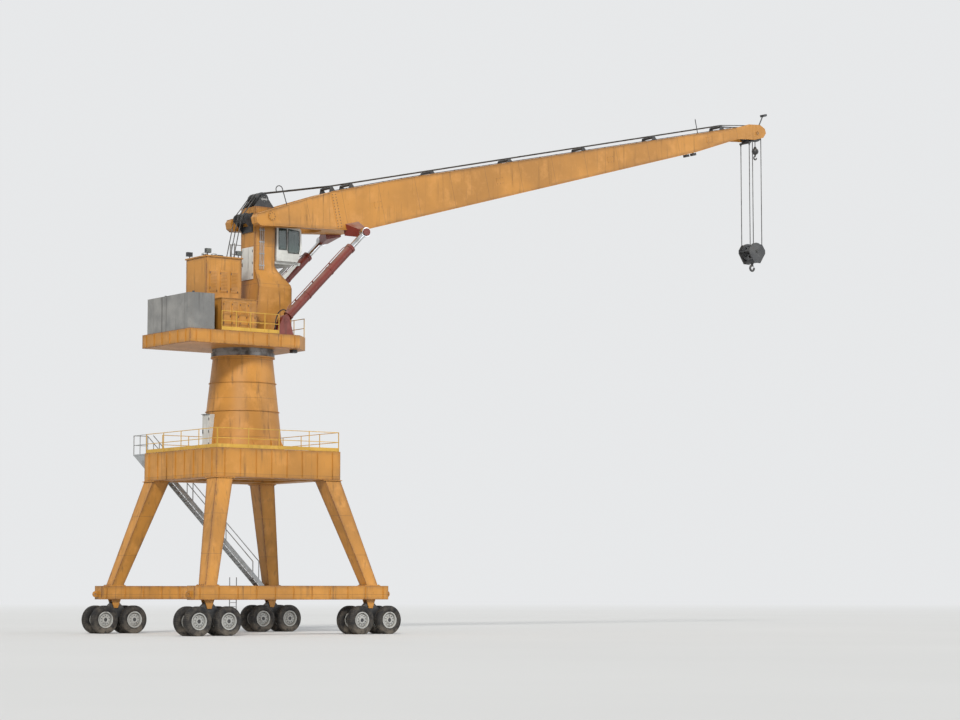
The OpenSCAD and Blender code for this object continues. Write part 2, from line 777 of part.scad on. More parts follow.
// Slabs with a cut corner, stacked and drilled for the bars that hold them
module counterweight() {
  half = deck_y - 50;
  slabs = 4;
  slab_h = ballast_h / slabs;
  color("#6d6f70") for (k = [0:slabs - 1]) translate([-deck_rear + 40, 0, deck_z + k * slab_h]) difference() {
    linear_extrude(slab_h - gap) polygon([
      [0, -half + 160], [120, -half], [ballast_l, -half], [ballast_l, half], [120, half], [0, half - 160]
    ]);
    for (sy = [-1, 1]) translate([ballast_l / 2, sy * 0.6 * half, -past]) cylinder(r = 60, h = slab_h + 2 * past);
  }
}
module deck_railing() {
  inset = 20;
  nose = 520;
  color("#e0b030") {
    both_sides() fence_x(house_back + 60, barrel_pin_x - 260, deck_y - inset, deck_z, 4);
    fence_y(nose - deck_y, deck_y - nose, deck_front - inset, deck_z, 3);
  }
}
module barrel_brackets() {
  ear_y = eye_w / 2 + ear_gap + ear_t / 2;
  shoulder = barrel_pin_z + 50;
  color("#8a2f22") both_sides() translate([barrel_pin_x, cyl_y, 0]) {
    for (sy = [-1, 1]) translate([0, sy * ear_y, 0]) {
      upright(ear_t) polygon([[-330, deck_z], [-120, shoulder], [120, shoulder], [250, deck_z]]);
      translate([0, 0, barrel_pin_z + 10]) bar_y(130, ear_t);
    }
    translate([0, 0, barrel_pin_z]) bar_y(pin_r, 2 * ear_y + ear_t + 20);
  }
}

// Cab

// Side view of the cab, or of the room inside its walls
module cab_side(t) {
  polygon([
    [t, t], [cab_l - 150 - 0.4 * t, t], [cab_l - t, 330], [cab_l - t - 20, cab_h - 120],
    [cab_l - 110 - t, cab_h - t], [t, cab_h - t]
  ]);
}
// Two windows in each side, two in the front and two in the floor
module cab_windows(depth) {
  head = cab_h - 110;
  post = 22;
  pane_w = cab_y - 75;
  both_sides() {
    translate([0, cab_y, 0]) {
      upright(depth) polygon([[70, 330], [330, 330], [330, head], [70, head]]);
      upright(depth) polygon([
        [385, 250], [cab_l - 110, 250], [cab_l - 75, 400], [cab_l - 90, head - 40], [385, head]
      ]);
    }
    translate([cab_l - 60, post, 370]) cube([120, pane_w, head - 420]);
    translate([cab_l - 240, post, 50]) cube([230, pane_w, 230]);
  }
}
module cab() {
  eave = 25;
  color("#dfe0dc") translate([cab_back, 0, floor_z]) {
    difference() {
      upright(2 * cab_y) cab_side(0);
      upright(2 * (cab_y - cab_wall)) cab_side(cab_wall);
      cab_windows(4 * cab_wall);
    }
    translate([-20, -cab_y - eave, cab_h]) cube([cab_l - 60, 2 * (cab_y + eave), cab_wall]);
  }
}
module cab_glass() {
  inset = 7;
  color("#24443c", 0.55) translate([cab_back, 0, floor_z]) intersection() {
    difference() {
      upright(2 * (cab_y - inset)) cab_side(inset);
      upright(2 * (cab_y - inset - pane)) cab_side(inset + pane);
    }
    cab_windows(4 * cab_wall - 2 * gap);
  }
}
// Two floor beams from the tower's face, each with a brace from its sloping foot
module cab_bracket() {
  beam = 80;
  top = -cab_drop - gap;
  low = -cab_drop - beam;
  nose = tower_front + cab_l;
  brace_z = -1690;
  color("#d9dad6") from_pivot() both_sides() translate([0, 250, 0]) upright(60) {
    polygon([[tower_front + gap, top], [tower_front + gap, low], [nose + 60, low], [nose + 90, top]]);
    polygon([
      [slope_x(brace_z) + gap, brace_z], [slope_x(brace_z - 100) + gap, brace_z - 100],
      [nose - 20, low + 1], [nose - 120, low + 1]
    ]);
  }
}
// Walkway from the tower to the cab's door, with the ladder that leads up to it
module cab_walkway() {
  x0 = pivot_x - tower_back;
  x1 = cab_back + cab_l;
  wall = tower_y + gap;
  inner = tower_y + 6;
  ladder_x = x0 - 40;
  ladder_y = 680;
  rungs = 16;
  under = floor_z - walk_t;
  fence_line = walk_y - 12;
  color("#8d9091") {
    translate([x0, inner, under]) cube([x1 - x0, walk_y - inner, walk_t]);
    for (x = [pivot_x - 180, pivot_x + 320]) translate([x, 0, 0]) crosswise(24) polygon([
      [wall, under + 1], [wall, under - 250], [wall + 60, under - 250], [walk_y - 30, under + 1]
    ]);
    fence_x(x0, x1, fence_line, floor_z + gap, 4);
    fence_y(inner + 24, fence_line - rail_w / 2 - gap, x1 - 12, floor_z + gap, 1);
    for (y = [ladder_y, ladder_y + ladder_w]) {
      translate([ladder_x - 12, y - 9, deck_z + gap]) cube([24, 18, floor_z + rail_h - deck_z]);
      translate([ladder_x, y - 9, floor_z - 30]) cube([x0 - ladder_x - gap, 18, 20]);
    }
    for (k = [1:rungs]) translate([ladder_x - 8, ladder_y, deck_z + k * (floor_z - deck_z) / (rungs + 1)])
      cube([16, ladder_w, 16]);
  }
}

// Luffing cylinders

module barrels() {
  neck = 185;
  bottom = 258;
  gland = 90;
  mouth = barrel_len - gland;
  color("#7c2a20") both_sides() on_cylinder() translate([0, cyl_y, 0]) difference() {
    union() {
      bar_y(150, eye_w);
      translate([0, 0, 60]) cylinder(r = eye_w / 2 - 1, h = neck);
      translate([0, 0, neck]) cylinder(r = barrel_r, h = barrel_len - neck);
      translate([0, 0, neck]) cylinder(r = barrel_r + 14, h = 70);
      for (k = [0.34, 0.67]) translate([0, 0, k * barrel_len]) cylinder(r = barrel_r + 10, h = 40);
      translate([0, 0, mouth]) cylinder(r = barrel_r + 16, h = gland);
    }
    bar_y(pin_r + play, eye_w + 2 * past);
    translate([0, 0, bottom]) cylinder(r = barrel_bore, h = mouth - bottom);
    translate([0, 0, bottom + past]) cylinder(r = rod_r + play, h = barrel_len);
  }
}
module rods() {
  piston = 120;
  color("#b8bcc0") both_sides() on_cylinder() translate([0, cyl_y, cyl_len]) difference() {
    union() {
      bar_y(140, eye_w);
      translate([0, 0, piston - rod_len - past]) cylinder(r = rod_r, h = rod_len - piston - 90);
      translate([0, 0, -rod_len]) cylinder(r = barrel_bore - play, h = piston);
    }
    bar_y(pin_r + play, eye_w + 2 * past);
  }
}

// Jib

// Side view between two distances; t is the thickness of plate left around it
module jib_side(s0, s1, t) {
  inner = [for (p = jib_top) if (p[0] > s0 && p[0] < s1) p[0]];
  under = [for (k = [len(jib_low) - 1:-1:0]) if (jib_low[k][0] > s0 && jib_low[k][0] < s1) jib_low[k][0]];
  polygon(concat(
    [[s0, at(s0, jib_top) - t]], [for (s = inner) [s, at(s, jib_top) - t]], [[s1, at(s1, jib_top) - t]],
    [[s1, at(s1, jib_low) + t]], [for (s = under) [s, at(s, jib_low) + t]], [[s0, at(s0, jib_low) + t]]
  ));
}
// Plan of the fork: two straight feet that run together round a crotch
module fork_plan(t) {
  inside = foot_y - foot_w + t;
  seam = seam_s - gap - t;
  difference() {
    polygon([
      [foot_end + t, t - foot_y], [foot_flat, t - foot_y], [seam, t - jib_half(seam_s)],
      [seam, jib_half(seam_s) - t], [foot_flat, foot_y - t], [foot_end + t, foot_y - t]
    ]);
    polygon([
      [foot_end - past, -inside], [foot_flat, -inside], [crotch_s, -crotch_r - t],
      [crotch_s, crotch_r + t], [foot_flat, inside], [foot_end - past, inside]
    ]);
    translate([crotch_s, 0]) circle(crotch_r + t);
  }
}
module box_plan(t) {
  polygon([
    [seam_s, t - box_root_y], [box_end, t - box_tip_y], [box_end, box_tip_y - t], [seam_s, box_root_y - t]
  ]);
}
// What the side view from s0 to s1 and a plan, given as a child, have in common
module jib_piece(s0, s1, t) {
  intersection() {
    upright(3 * foot_y) jib_side(s0, s1, t);
    translate([0, 0, -2 * foot_y]) linear_extrude(4 * foot_y) children();
  }
}
// Forked root: solid feet round the pivot, hollow from there to the seam
module jib_root() {
  chamfer = 110;
  hollow_s = 310;
  color("#d0882a") on_jib() difference() {
    jib_piece(foot_end, seam_s - gap, 0) fork_plan(0);
    for (z = [at(foot_end, jib_top), at(foot_end, jib_low)]) translate([foot_end, 0, z])
      rotate([0, 45, 0]) cube([chamfer, 3 * foot_y, chamfer], center = true);
    jib_piece(hollow_s, seam_s - gap - jib_plate, jib_plate) fork_plan(jib_plate);
    bar_y(pivot_r + play, 3 * foot_y);
  }
}
// Tapered box girder with bulkheads between its closed bays
module jib_box() {
  bay = (box_end - seam_s) / bay_count;
  color("#d0882a") on_jib() difference() {
    jib_piece(seam_s, box_end, 0) box_plan(0);
    for (k = [0:bay_count - 1])
      jib_piece(seam_s + bay * k + jib_plate, seam_s + bay * (k + 1) - jib_plate, jib_plate) box_plan(jib_plate);
  }
}
// Two cheek plates that hold the head axle, with a tie and a guard bar
module jib_head() {
  start = box_end + gap;
  color("#d0882a") on_jib() {
    for (sy = [-1, 1]) translate([0, sy * (box_tip_y - cheek_t / 2), 0]) upright(cheek_t) polygon([
      [start, -88], [start, 290], [jib_len - 300, 330], [jib_len + 200, 250], [jib_len + 390, 90],
      [jib_len + 400, -60], [jib_len + 250, -190], [jib_len - 150, -210], [jib_len - 420, -160]
    ]);
    translate([start, -box_tip_y, 200]) cube([60, 2 * box_tip_y, 80]);
    translate([jib_len, 0, 0]) bar_y(axle_r, 2 * box_tip_y + 40);
    translate([jib_len + 350, 0, -40]) bar_y(30, 2 * box_tip_y);
    translate([lamp_root[0], 0, lamp_root[1]]) bar_y(lamp_bar_r, 2 * box_tip_y - past);
  }
}
module head_sheaves() {
  color("#232426") on_jib() translate([jib_len, 0, 0]) {
    for (y = [-sheave_y, sheave_y]) translate([0, y, 0]) sheave(sheave_r, sheave_w, axle_r + play);
    sheave(whip_r, 0.8 * sheave_w, axle_r + play);
  }
}
// Outriggers on the box girder's flanks that carry the rods' pins
module rod_brackets() {
  reach = cyl_y - eye_w / 2 - ear_gap;
  root_y = 480;
  slice = 10;
  color("#7c2a20") on_jib() both_sides() {
    difference() {
      translate([rod_pin_s, 0, -rod_pin_t]) hull() {
        translate([-260, root_y, 20]) cube([520, slice, 380]);
        translate([-130, reach - slice, -110]) cube([260, slice, 240]);
      }
      jib_piece(seam_s, box_end, -gap) box_plan(-gap);
    }
    translate([rod_pin_s, cyl_y, -rod_pin_t]) {
      bar_y(pin_r, eye_w + 2 * (ear_gap + ear_t));
      translate([0, (eye_w + ear_t) / 2 + ear_gap, 0]) bar_y(pin_r + 35, ear_t);
    }
  }
}
module roller_stand(s) {
  axis = rope_t(s) - rope_r - roller_gap - roller_r;
  foot = 110;
  head = 40;
  stand_y = sheave_y + 55;
  for (sy = [-1, 1]) translate([0, sy * stand_y, 0]) upright(14) polygon([
    [s - foot, at(s - foot, jib_top) + gap], [s - head, axis + 30], [s + head, axis + 30],
    [s + foot, at(s + foot, jib_top) + gap]
  ]);
  translate([s, 0, axis]) bar_y(roller_r, 2 * stand_y);
}
module rope_rollers() {
  step = (roller_last - roller_first) / (roller_count - 1);
  color("#2a2c2e") on_jib() {
    roller_stand(root_roller_s);
    for (k = [0:roller_count - 1]) roller_stand(roller_first + step * k);
  }
}
module jib_ropes() {
  color("#47494b") on_jib() for (k = [0:2]) {
    r = rope_pitch_r[k];
    a = meet_a(head_c, r, rope_last, -1);
    rope_line(rope_root, rope_last - [1, 0], rope_y[k]);
    rope_line(rope_last, ring_point(head_c, r, a), rope_y[k]);
    rope_bend(head_c, r, -90, a, rope_y[k]);
  }
}
module luff_ropes() {
  start = ring_point(mast_c, mast_sheave_r, mast_front_a);
  way = (rope_root_world - start) / norm(rope_root_world - start);
  color("#47494b") for (y = rope_y) rope_line(start + gap * way, rope_root_world - 4 * way, y);
}
// Bowed mast on the right foot, aerial near the head, and the lamp on its arm
module jib_fittings() {
  mast_r = 14;
  bow_r = 110;
  bow_h = 470;
  way = (lamp_end - lamp_root) / norm(lamp_end - lamp_root);
  arm = lamp_root + (lamp_bar_r + gap) * way;
  color("#3a3c3d") {
    on_jib_top(700) translate([0, foot_w / 2 + 50 - foot_y, 0]) {
      cylinder(r = mast_r, h = bow_h);
      translate([-bow_r, 0, bow_h]) rotate([90, 0, 0])
        rotate_extrude(angle = 200) translate([bow_r, 0]) circle(mast_r);
    }
    on_jib_top(jib_len - 2600) translate([0, -box_tip_y + 40, 0]) cylinder(r = mast_r, h = 480);
    on_jib() {
      translate([arm[0], 0, arm[1]]) rotate([0, 90 - atan2(way[1], way[0]), 0])
        cylinder(r = 20, h = norm(lamp_end - arm));
      translate([lamp_end[0] - 60, -90, lamp_end[1] - 50]) cube([150, 180, 70]);
    }
  }
}

// What hangs from the head axle

module fall_hanger() {
  plate_y = 122;
  plate_t = 20;
  color("#3a3c3d") at_head() {
    for (sy = [-1, 1]) translate([0, sy * plate_y, 0]) difference() {
      upright(plate_t) {
        circle(105);
        polygon([[-90, 55], [-105, -10], anchor + [-50, 10], anchor + [-20, -40], anchor + [45, -10], [75, -75]]);
      }
      bar_y(axle_r + play, 2 * plate_t);
    }
    translate([anchor[0], 0, anchor[1]]) {
      bar_y(34, 2 * sheave_y + 80);
      for (y = [-sheave_y, sheave_y]) translate([0, y, -socket_h]) cylinder(r = 26, h = socket_h);
    }
  }
}
module main_falls() {
  front_l = fall_len - 124 - gap;
  rear_l = fall_len + anchor[1] - socket_h - 2 * gap;
  color("#47494b") at_block() for (y = [-sheave_y, sheave_y]) {
    translate([sheave_r, y, gap]) cylinder(r = rope_r, h = front_l);
    translate([-sheave_r, y, gap]) cylinder(r = rope_r, h = rear_l);
  }
}
module whip_fall() {
  start = ball_r + 40 + gap;
  length = whip_len - 114 - start;
  color("#47494b") translate([head_x + whip_r, 0, whip_z + start]) cylinder(r = rope_r, h = length);
}
// Two cheeks on an axle, tied clear of the sheaves, with the crosshead that the hook turns in
module hook_block() {
  cheek_y = sheave_y + 52;
  side = sheave_r + lip_h + 36;
  tie = 30;
  toe = cross_low - 20;
  color("#232426") at_block() {
    for (sy = [-1, 1]) translate([0, sy * cheek_y, 0]) upright(24) polygon([
      [-side - 30, 50], [-220, 235], [220, 235], [side + 30, 50], [side + 30, -60], [130, toe],
      [-130, toe], [-side - 30, -60]
    ]);
    bar_y(axle_r, 2 * cheek_y + 60);
    for (sx = [-1, 1]) translate([sx * side - tie / 2, -cheek_y, -tie / 2]) cube([tie, 2 * cheek_y, tie]);
    difference() {
      translate([-90, -cheek_y, cross_low]) cube([180, 2 * cheek_y, cross_h]);
      translate([0, 0, cross_low - past]) cylinder(r = shank_r + play, h = cross_h + 2 * past);
    }
    for (y = [-sheave_y, sheave_y]) translate([0, y, 0]) sheave(sheave_r, sheave_w, axle_r + play);
  }
}
module block_ropes() {
  color("#47494b") for (y = [-sheave_y, sheave_y]) rope_bend([head_x, block_z], sheave_r, -180, 0, y);
}
// The bowl of a hook, open towards +X; its centre lies in the shank's axis
module hook_bowl(r, tube) {
  rotate([90, 0, 0]) rotate([0, 0, 80]) rotate_extrude(angle = 290) translate([r, 0]) circle(tube);
}
module main_hook() {
  bowl_r = 85;
  bowl_z = -548;
  shank_z = bowl_z + bowl_r - 5;
  nut_h = 34;
  collar_h = 14;
  color("#232426") at_block() {
    translate([0, 0, shank_z]) cylinder(r = shank_r, h = cross_top + 20 - shank_z);
    translate([0, 0, cross_top + gap]) cylinder(r = shank_r + 27, h = nut_h);
    translate([0, 0, cross_low - collar_h - gap]) cylinder(r = shank_r + 21, h = collar_h);
    translate([0, 0, bowl_z]) hook_bowl(bowl_r, 36);
  }
}
module whip_hook() {
  neck = 36;
  color("#232426") translate([head_x + whip_r, 0, whip_z]) {
    rotate_extrude() polygon(concat(
      [[0, -ball_r - 60], [26, -ball_r - 60]], [for (a = [-75:15:70]) ball_r * [cos(a), sin(a)]],
      [[neck, ball_r + 40], [0, ball_r + 40]]
    ));
    translate([0, 0, -ball_r - 105]) hook_bowl(56, 23);
  }
}

// Access to the portal

// One panel to a side, open at the left where the stair arrives
module portal_railing() {
  end = fence_edge - rail_w / 2 - gap;
  color("#e0b030") {
    fence_x(-fence_edge, fence_edge, -fence_edge, pedestal_z, 4);
    fence_x(stair_top_x, fence_edge, fence_edge, pedestal_z, 4);
    for (sx = [-1, 1]) fence_y(-end, end, sx * fence_edge, pedestal_z, 4);
  }
}
// One side of the flight: the stringer, its posts and its handrail
module stair_side() {
  depth = 170;
  foot_z = sill_top + gap;
  end_x = stair_top_x - 60;
  polygon([
    [stair_foot_x, foot_z], [stair_foot_x - depth, foot_z], [end_x, pedestal_z - depth + 60],
    [end_x, pedestal_z - 20], [stair_top_x + 20, pedestal_z - 20]
  ]);
  post = function(k) [stair_foot_x - 40 - k * stair_rise, sill_top + k * stair_rise];
  for (k = [0.05, 0.35, 0.65, 0.95]) translate(post(k)) square([rail_w, rail_h - 10]);
  polygon([
    post(0.05) + [rail_w, rail_h - 30], post(1) + [0, rail_h - 12],
    post(1) + [0, rail_h + 14], post(0.05) + [rail_w, rail_h - 4]
  ]);
}
// Flight from the left sill up to a landing beside the frame, and the ladder up to the sill
module portal_stair() {
  stringer_t = 24;
  tread = [130, stair_w - stringer_t, 16];
  outer = stair_y + stair_w;
  landing_x = stair_top_x - landing_l;
  landing_t = 40;
  wall = frame_edge + gap;
  under = pedestal_z - landing_t;
  color("#8d9091") {
    for (y = [stair_y + stringer_t / 2, outer - stringer_t / 2]) translate([0, y, 0])
      upright(stringer_t) stair_side();
    for (k = [1:stair_steps - 1]) {
      up = stair_rise * k / stair_steps;
      front = stair_foot_x - up - 6;
      translate([front - tread[0], stair_y + stringer_t / 2, sill_top + up - tread[2]]) cube(tread);
    }
    translate([landing_x, wall, under]) cube([landing_l, outer - 6 - wall, landing_t]);
    for (x = [landing_x + 20, stair_top_x - 60]) translate([x, 0, 0]) crosswise(24) polygon([
      [wall, under + 1], [wall, under - 420], [wall + 60, under - 420], [outer - 30, under + 1]
    ]);
    fence_x(landing_x, stair_top_x - 30, outer - 18, pedestal_z, 1);
    fence_y(wall + 20, outer - 10, landing_x + 12, pedestal_z, 2);
    sill_ladder();
  }
}
module sill_ladder() {
  x = wheel_base / 2 - axle_gap / 2 - tyre_r - 150 - ladder_w;
  wall = (gauge + sill_w) / 2 + gap;
  y = wall + 70;
  low = 240;
  top = sill_top + 260;
  rungs = 9;
  for (sx = [0, ladder_w]) {
    translate([x + sx - 9, y, low]) cube([18, 24, top - low]);
    for (z = [sill_z + 60, sill_top - 80]) translate([x + sx - 9, wall, z]) cube([18, y - wall + past, 20]);
  }
  for (k = [0:rungs]) translate([x, y + 4, low + 30 + k * (sill_top - low - 60) / rungs])
    cube([ladder_w, 16, 16]);
}

// The whole part

tyres();
rims();
bogies();
sills();
legs();
portal_frame();
pedestal();
pedestal_door();
portal_railing();
portal_stair();
slew_ring_fixed();
slew_ring_turning();
deck();
tower();
tower_door();
mast_head();
rope_guide();
winch_ropes();
machine_house();
side_cabinets();
counterweight();
deck_railing();
barrel_brackets();
cab();
cab_glass();
cab_bracket();
cab_walkway();
barrels();
rods();
jib_root();
jib_box();
jib_head();
head_sheaves();
rod_brackets();
rope_rollers();
jib_ropes();
luff_ropes();
jib_fittings();
fall_hanger();
main_falls();
whip_fall();
hook_block();
block_ropes();
main_hook();
whip_hook();
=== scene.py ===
"""The looks of a slewing harbour jib crane on a rubber tyred portal, at half its real size.

The CAD part is loaded as the fixed frame. This script gives each material slot a weathered
finish, adds the small pieces that the CAD part leaves out, and sets the light and the camera.
Lengths are in metres, in the part's own frame: +Z up, +X the way the jib points.
"""
import json
import math

import bmesh
import bpy
import numpy as np
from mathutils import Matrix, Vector


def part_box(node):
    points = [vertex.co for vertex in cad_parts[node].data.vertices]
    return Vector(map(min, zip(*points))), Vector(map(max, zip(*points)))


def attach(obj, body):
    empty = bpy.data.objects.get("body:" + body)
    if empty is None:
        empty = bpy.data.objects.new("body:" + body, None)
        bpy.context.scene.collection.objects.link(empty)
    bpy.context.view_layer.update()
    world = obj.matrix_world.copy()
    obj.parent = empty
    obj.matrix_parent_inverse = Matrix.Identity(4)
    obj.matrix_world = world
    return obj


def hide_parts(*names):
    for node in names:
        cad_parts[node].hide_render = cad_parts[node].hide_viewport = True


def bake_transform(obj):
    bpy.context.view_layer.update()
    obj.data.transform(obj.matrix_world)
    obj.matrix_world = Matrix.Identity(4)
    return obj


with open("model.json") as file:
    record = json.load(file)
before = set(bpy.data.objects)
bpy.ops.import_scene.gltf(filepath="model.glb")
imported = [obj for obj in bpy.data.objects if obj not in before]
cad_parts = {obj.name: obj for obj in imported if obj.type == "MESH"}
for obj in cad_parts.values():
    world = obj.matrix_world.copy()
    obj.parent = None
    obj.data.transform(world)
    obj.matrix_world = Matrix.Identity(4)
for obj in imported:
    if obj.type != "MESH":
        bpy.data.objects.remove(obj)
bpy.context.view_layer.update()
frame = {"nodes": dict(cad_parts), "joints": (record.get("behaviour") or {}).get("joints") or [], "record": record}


# Places that the finishes and the small pieces share

def box_of(node):
    """The lowest and the highest corner of a CAD node's box."""
    low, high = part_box(node)
    return np.array(low), np.array(high)


JOINTS = {joint["name"]: joint for joint in frame["joints"]}
PIVOT = np.array(JOINTS["jib_luff"]["pos_m"])
HEAD = np.array(JOINTS["falls_hang"]["pos_m"])
BARREL_PIN = np.array(JOINTS["barrel_swing"]["pos_m"])

# The jib at rest, and how far along it its root ends and its lower edge bends towards the head
JIB_ANGLE = math.atan2(HEAD[2] - PIVOT[2], HEAD[0] - PIVOT[0])
JIB_COS, JIB_SIN = math.cos(JIB_ANGLE), math.sin(JIB_ANGLE)
JIB_TURN = np.array([[JIB_COS, 0, -JIB_SIN], [0, 1, 0], [JIB_SIN, 0, JIB_COS]])
JIB_LENGTH = float(np.linalg.norm(HEAD - PIVOT))
ROOT_END, JIB_BEND = 2.4, 16.93
# The jib's half width, upper edge and lower edge, as places along it and the value at each
JIB_HALF = (0.22, ROOT_END, 18.9), (0.86, 0.60, 0.31)
JIB_TOP = (-0.51, 0.0, ROOT_END, 5.1, 18.9), (0.14, 0.195, 0.42, 0.45, 0.29)
JIB_LOW = (-0.51, 3.13, JIB_BEND, 18.9), (-0.19, -0.855, -0.275, -0.088)

# The cylinders: how far each lies from the middle, and the way the barrels point at rest
CYLINDERS = {"left": 1.15, "right": -1.15}
BARREL_WAY, BARREL_OUT = math.sqrt(0.5) * np.array([1, 0, 1]), math.sqrt(0.5) * np.array([-1, 0, 1])

# The ropes, and the axles of the mast head and of the hook block
ROPE_RADIUS, ROPE_Y = 0.014, 0.205
MAST_AXLE = PIVOT + np.array([0.06, 0, 0.5574])
BLOCK_AXLE = HEAD - np.array([0, 0, 3.96])

# The portal: its frame, wheels, sills, legs and stair
DECK_TOP = float(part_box("deck")[1].z)
PORTAL_LOW, PORTAL_TOP = (float(corner.z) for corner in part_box("portal_frame"))
FRAME_HALF = float(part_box("portal_frame")[1].x)
WHEEL_LINE, AXLE_REACH, AXLE_Z, TYRE_RADIUS = 2.6, 0.46, 0.39, 0.40
SILL_LOW, SILL_TOP = 0.96, float(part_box("sills")[1].z)
SILL_END, SILL_HALF = WHEEL_LINE + 0.52, 0.20
LEG_Z, LEG_HEAD, LEG_HALF = (SILL_TOP, PORTAL_LOW), 1.75, (0.18, 0.26)
STAIR_STEPS, STAIR_FOOT_X = 34, 2.3
STAIR_TOP_X = STAIR_FOOT_X - (PORTAL_TOP - SILL_TOP)

# The tower: the heights where its foot's slopes begin and end, and the places of its walls there
TOE, CHIN, WAIST, SHOULDER = (float(PIVOT[2]) - drop for drop in (1.90, 1.35, 2.00, 1.50))
TOWER_BACK, TOWER_FRONT, TOWER_SIDE = (-0.02, 0.14), (1.22, 0.80), (0.64, 0.385)
TOWER_TOP = float(PIVOT[2]) + 0.33

# The house, the cabinets and the cab: their walls, and the rear edges of the doors
HOUSE_BACK, HOUSE_SIDE = box_of("machine_house")[0][0] + 0.03, box_of("machine_house")[1][1] - 0.03
HOUSE_DOORS = HOUSE_BACK + 0.11 + 0.34 * np.arange(3)
CABINET_INNER, CABINET_DEPTH = 0.65, 0.56
CABINET_SIDE = CABINET_INNER + CABINET_DEPTH
CABINET_DOORS = HOUSE_BACK + 0.18 + 0.265 * np.arange(4)
CAB_SIDE = 0.36


# Materials

class Wire:
    """The output of a shader node. Arithmetic on it adds Math nodes to the same tree."""

    def __init__(self, nodes, socket):
        self.nodes = nodes
        self.socket = socket

    def outputs(self, *names):
        """Wires from the named outputs of the node that this one comes from."""
        return [Wire(self.nodes, self.socket.node.outputs[name]) for name in names]

    def math(self, operation, *others):
        inputs = dict(enumerate((self, *others)))
        return self.nodes.node("ShaderNodeMath", {"operation": operation}, inputs)

    def __add__(self, other):
        return self.math("ADD", other)

    def __sub__(self, other):
        return self.math("SUBTRACT", other)

    def __mul__(self, other):
        return self.math("MULTIPLY", other)

    def __truediv__(self, other):
        return self.math("DIVIDE", other)

    def __rsub__(self, other):
        return (self * -1.0) + other

    def __rtruediv__(self, other):
        return self.math("POWER", -1.0) * other

    __radd__ = __add__
    __rmul__ = __mul__

    def least(self, other):
        return self.math("MINIMUM", other)

    def most(self, other):
        return self.math("MAXIMUM", other)

    def size(self):
        return self.math("ABSOLUTE")

    def between(self, low, high, start, end, curve="LINEAR"):
        """Goes from start to end as the value goes from low to high, and stays level beyond them."""
        inputs = {0: self, 1: low, 2: high, 3: start, 4: end}
        return self.nodes.node("ShaderNodeMapRange", {"interpolation_type": curve}, inputs)

    def ramp(self, low, high):
        """0 below low, 1 above high, smooth in between. Low may be the larger one."""
        return self.between(low, high, 0.0, 1.0, "SMOOTHSTEP")

    def pulse(self, period, width):
        """1 on a thin line at each period, 0 between the lines."""
        return (self.math("PINGPONG", period / 2) / (width / 2)).ramp(1.0, 0.5)

    def gap(self, *levels):
        """How far the value lies from the nearest of some levels."""
        nearest, *others = [(self - level).size() for level in levels]
        for other in others:
            nearest = nearest.least(other)
        return nearest

    def follow(self, stops, values):
        """The broken line through the values given at the stops, level beyond both ends."""
        line = values[0]
        for low, high, start, end in zip(stops, stops[1:], values, values[1:]):
            line = line + self.between(low, high, 0.0, end - start)
        return line


class Nodes:
    """A node tree that grows by one method."""

    def __init__(self, tree):
        self.tree = tree

    def feed(self, socket, value):
        """Links a wire to a socket, or gives the socket a plain value."""
        if isinstance(value, Wire):
            self.tree.links.new(value.socket, socket)
        else:
            socket.default_value = value

    def node(self, kind, settings, inputs, output=0):
        """A new node: its settings first, then the value or the wire of each socket."""
        made = self.tree.nodes.new(kind)
        for key, value in settings.items():
            setattr(made, key, value)
        for key, value in inputs.items():
            self.feed(made.inputs[key], value)
        return Wire(self, made.outputs[output]) if made.outputs else None


class Shade(Nodes):
    """A new material and its one Principled shader."""

    def __init__(self, name, **constants):
        self.material = bpy.data.materials.new(name)
        self.material.use_nodes = True
        super().__init__(self.material.node_tree)
        self.shader = self.tree.nodes["Principled BSDF"]
        for socket, value in constants.items():
            self.feed(self.shader.inputs[socket.replace("_", " ")], value)
        self.place = self.node("ShaderNodeTexCoord", {}, {}, "Object")
        axes = self.node("ShaderNodeSeparateXYZ", {}, {0: self.place})
        self.x, self.y, self.z = axes.outputs("X", "Y", "Z")

    def mix(self, share, first, second):
        """A colour between two others; a plain colour is given as three numbers."""
        first, second = (c if isinstance(c, Wire) else (*c, 1.0) for c in (first, second))
        return self.node("ShaderNodeMix", {"data_type": "RGBA"}, {0: share, 6: first, 7: second}, 2)

    def noise(self, scale, detail=3.0, stretch=(1, 1, 1), rough=0.55):
        """Cloudy patches from 0 to 1, finer along an axis with a larger stretch."""
        place = self.node("ShaderNodeVectorMath", {"operation": "MULTIPLY"}, {0: self.place, 1: stretch})
        inputs = {"Vector": place, "Scale": scale, "Detail": detail, "Roughness": rough}
        return self.node("ShaderNodeTexNoise", {}, inputs)

    def cells(self, scale):
        """How far a point lies from the middle of its own crystal."""
        return self.node("ShaderNodeTexVoronoi", {}, {"Vector": self.place, "Scale": scale})

    def upward(self):
        """1 on faces that look up, 0 on walls."""
        normal = self.node("ShaderNodeNewGeometry", {}, {}, "Normal")
        return self.node("ShaderNodeSeparateXYZ", {}, {0: normal}, "Z").ramp(0.35, 0.85)

    def finish(self, color, roughness, height=None, distance=0.002):
        """Feeds the colour, the roughness and the relief to the shader, and gives the material back."""
        self.feed(self.shader.inputs["Base Color"], color)
        self.feed(self.shader.inputs["Roughness"], roughness)
        if height is not None:
            relief = {"Strength": 0.6, "Distance": distance, "Height": height}
            self.feed(self.shader.inputs["Normal"], self.node("ShaderNodeBump", {}, relief))
        return self.material


RUST = (0.16, 0.055, 0.022)
SOOT = (0.035, 0.030, 0.025)
DUST = (0.36, 0.31, 0.25)


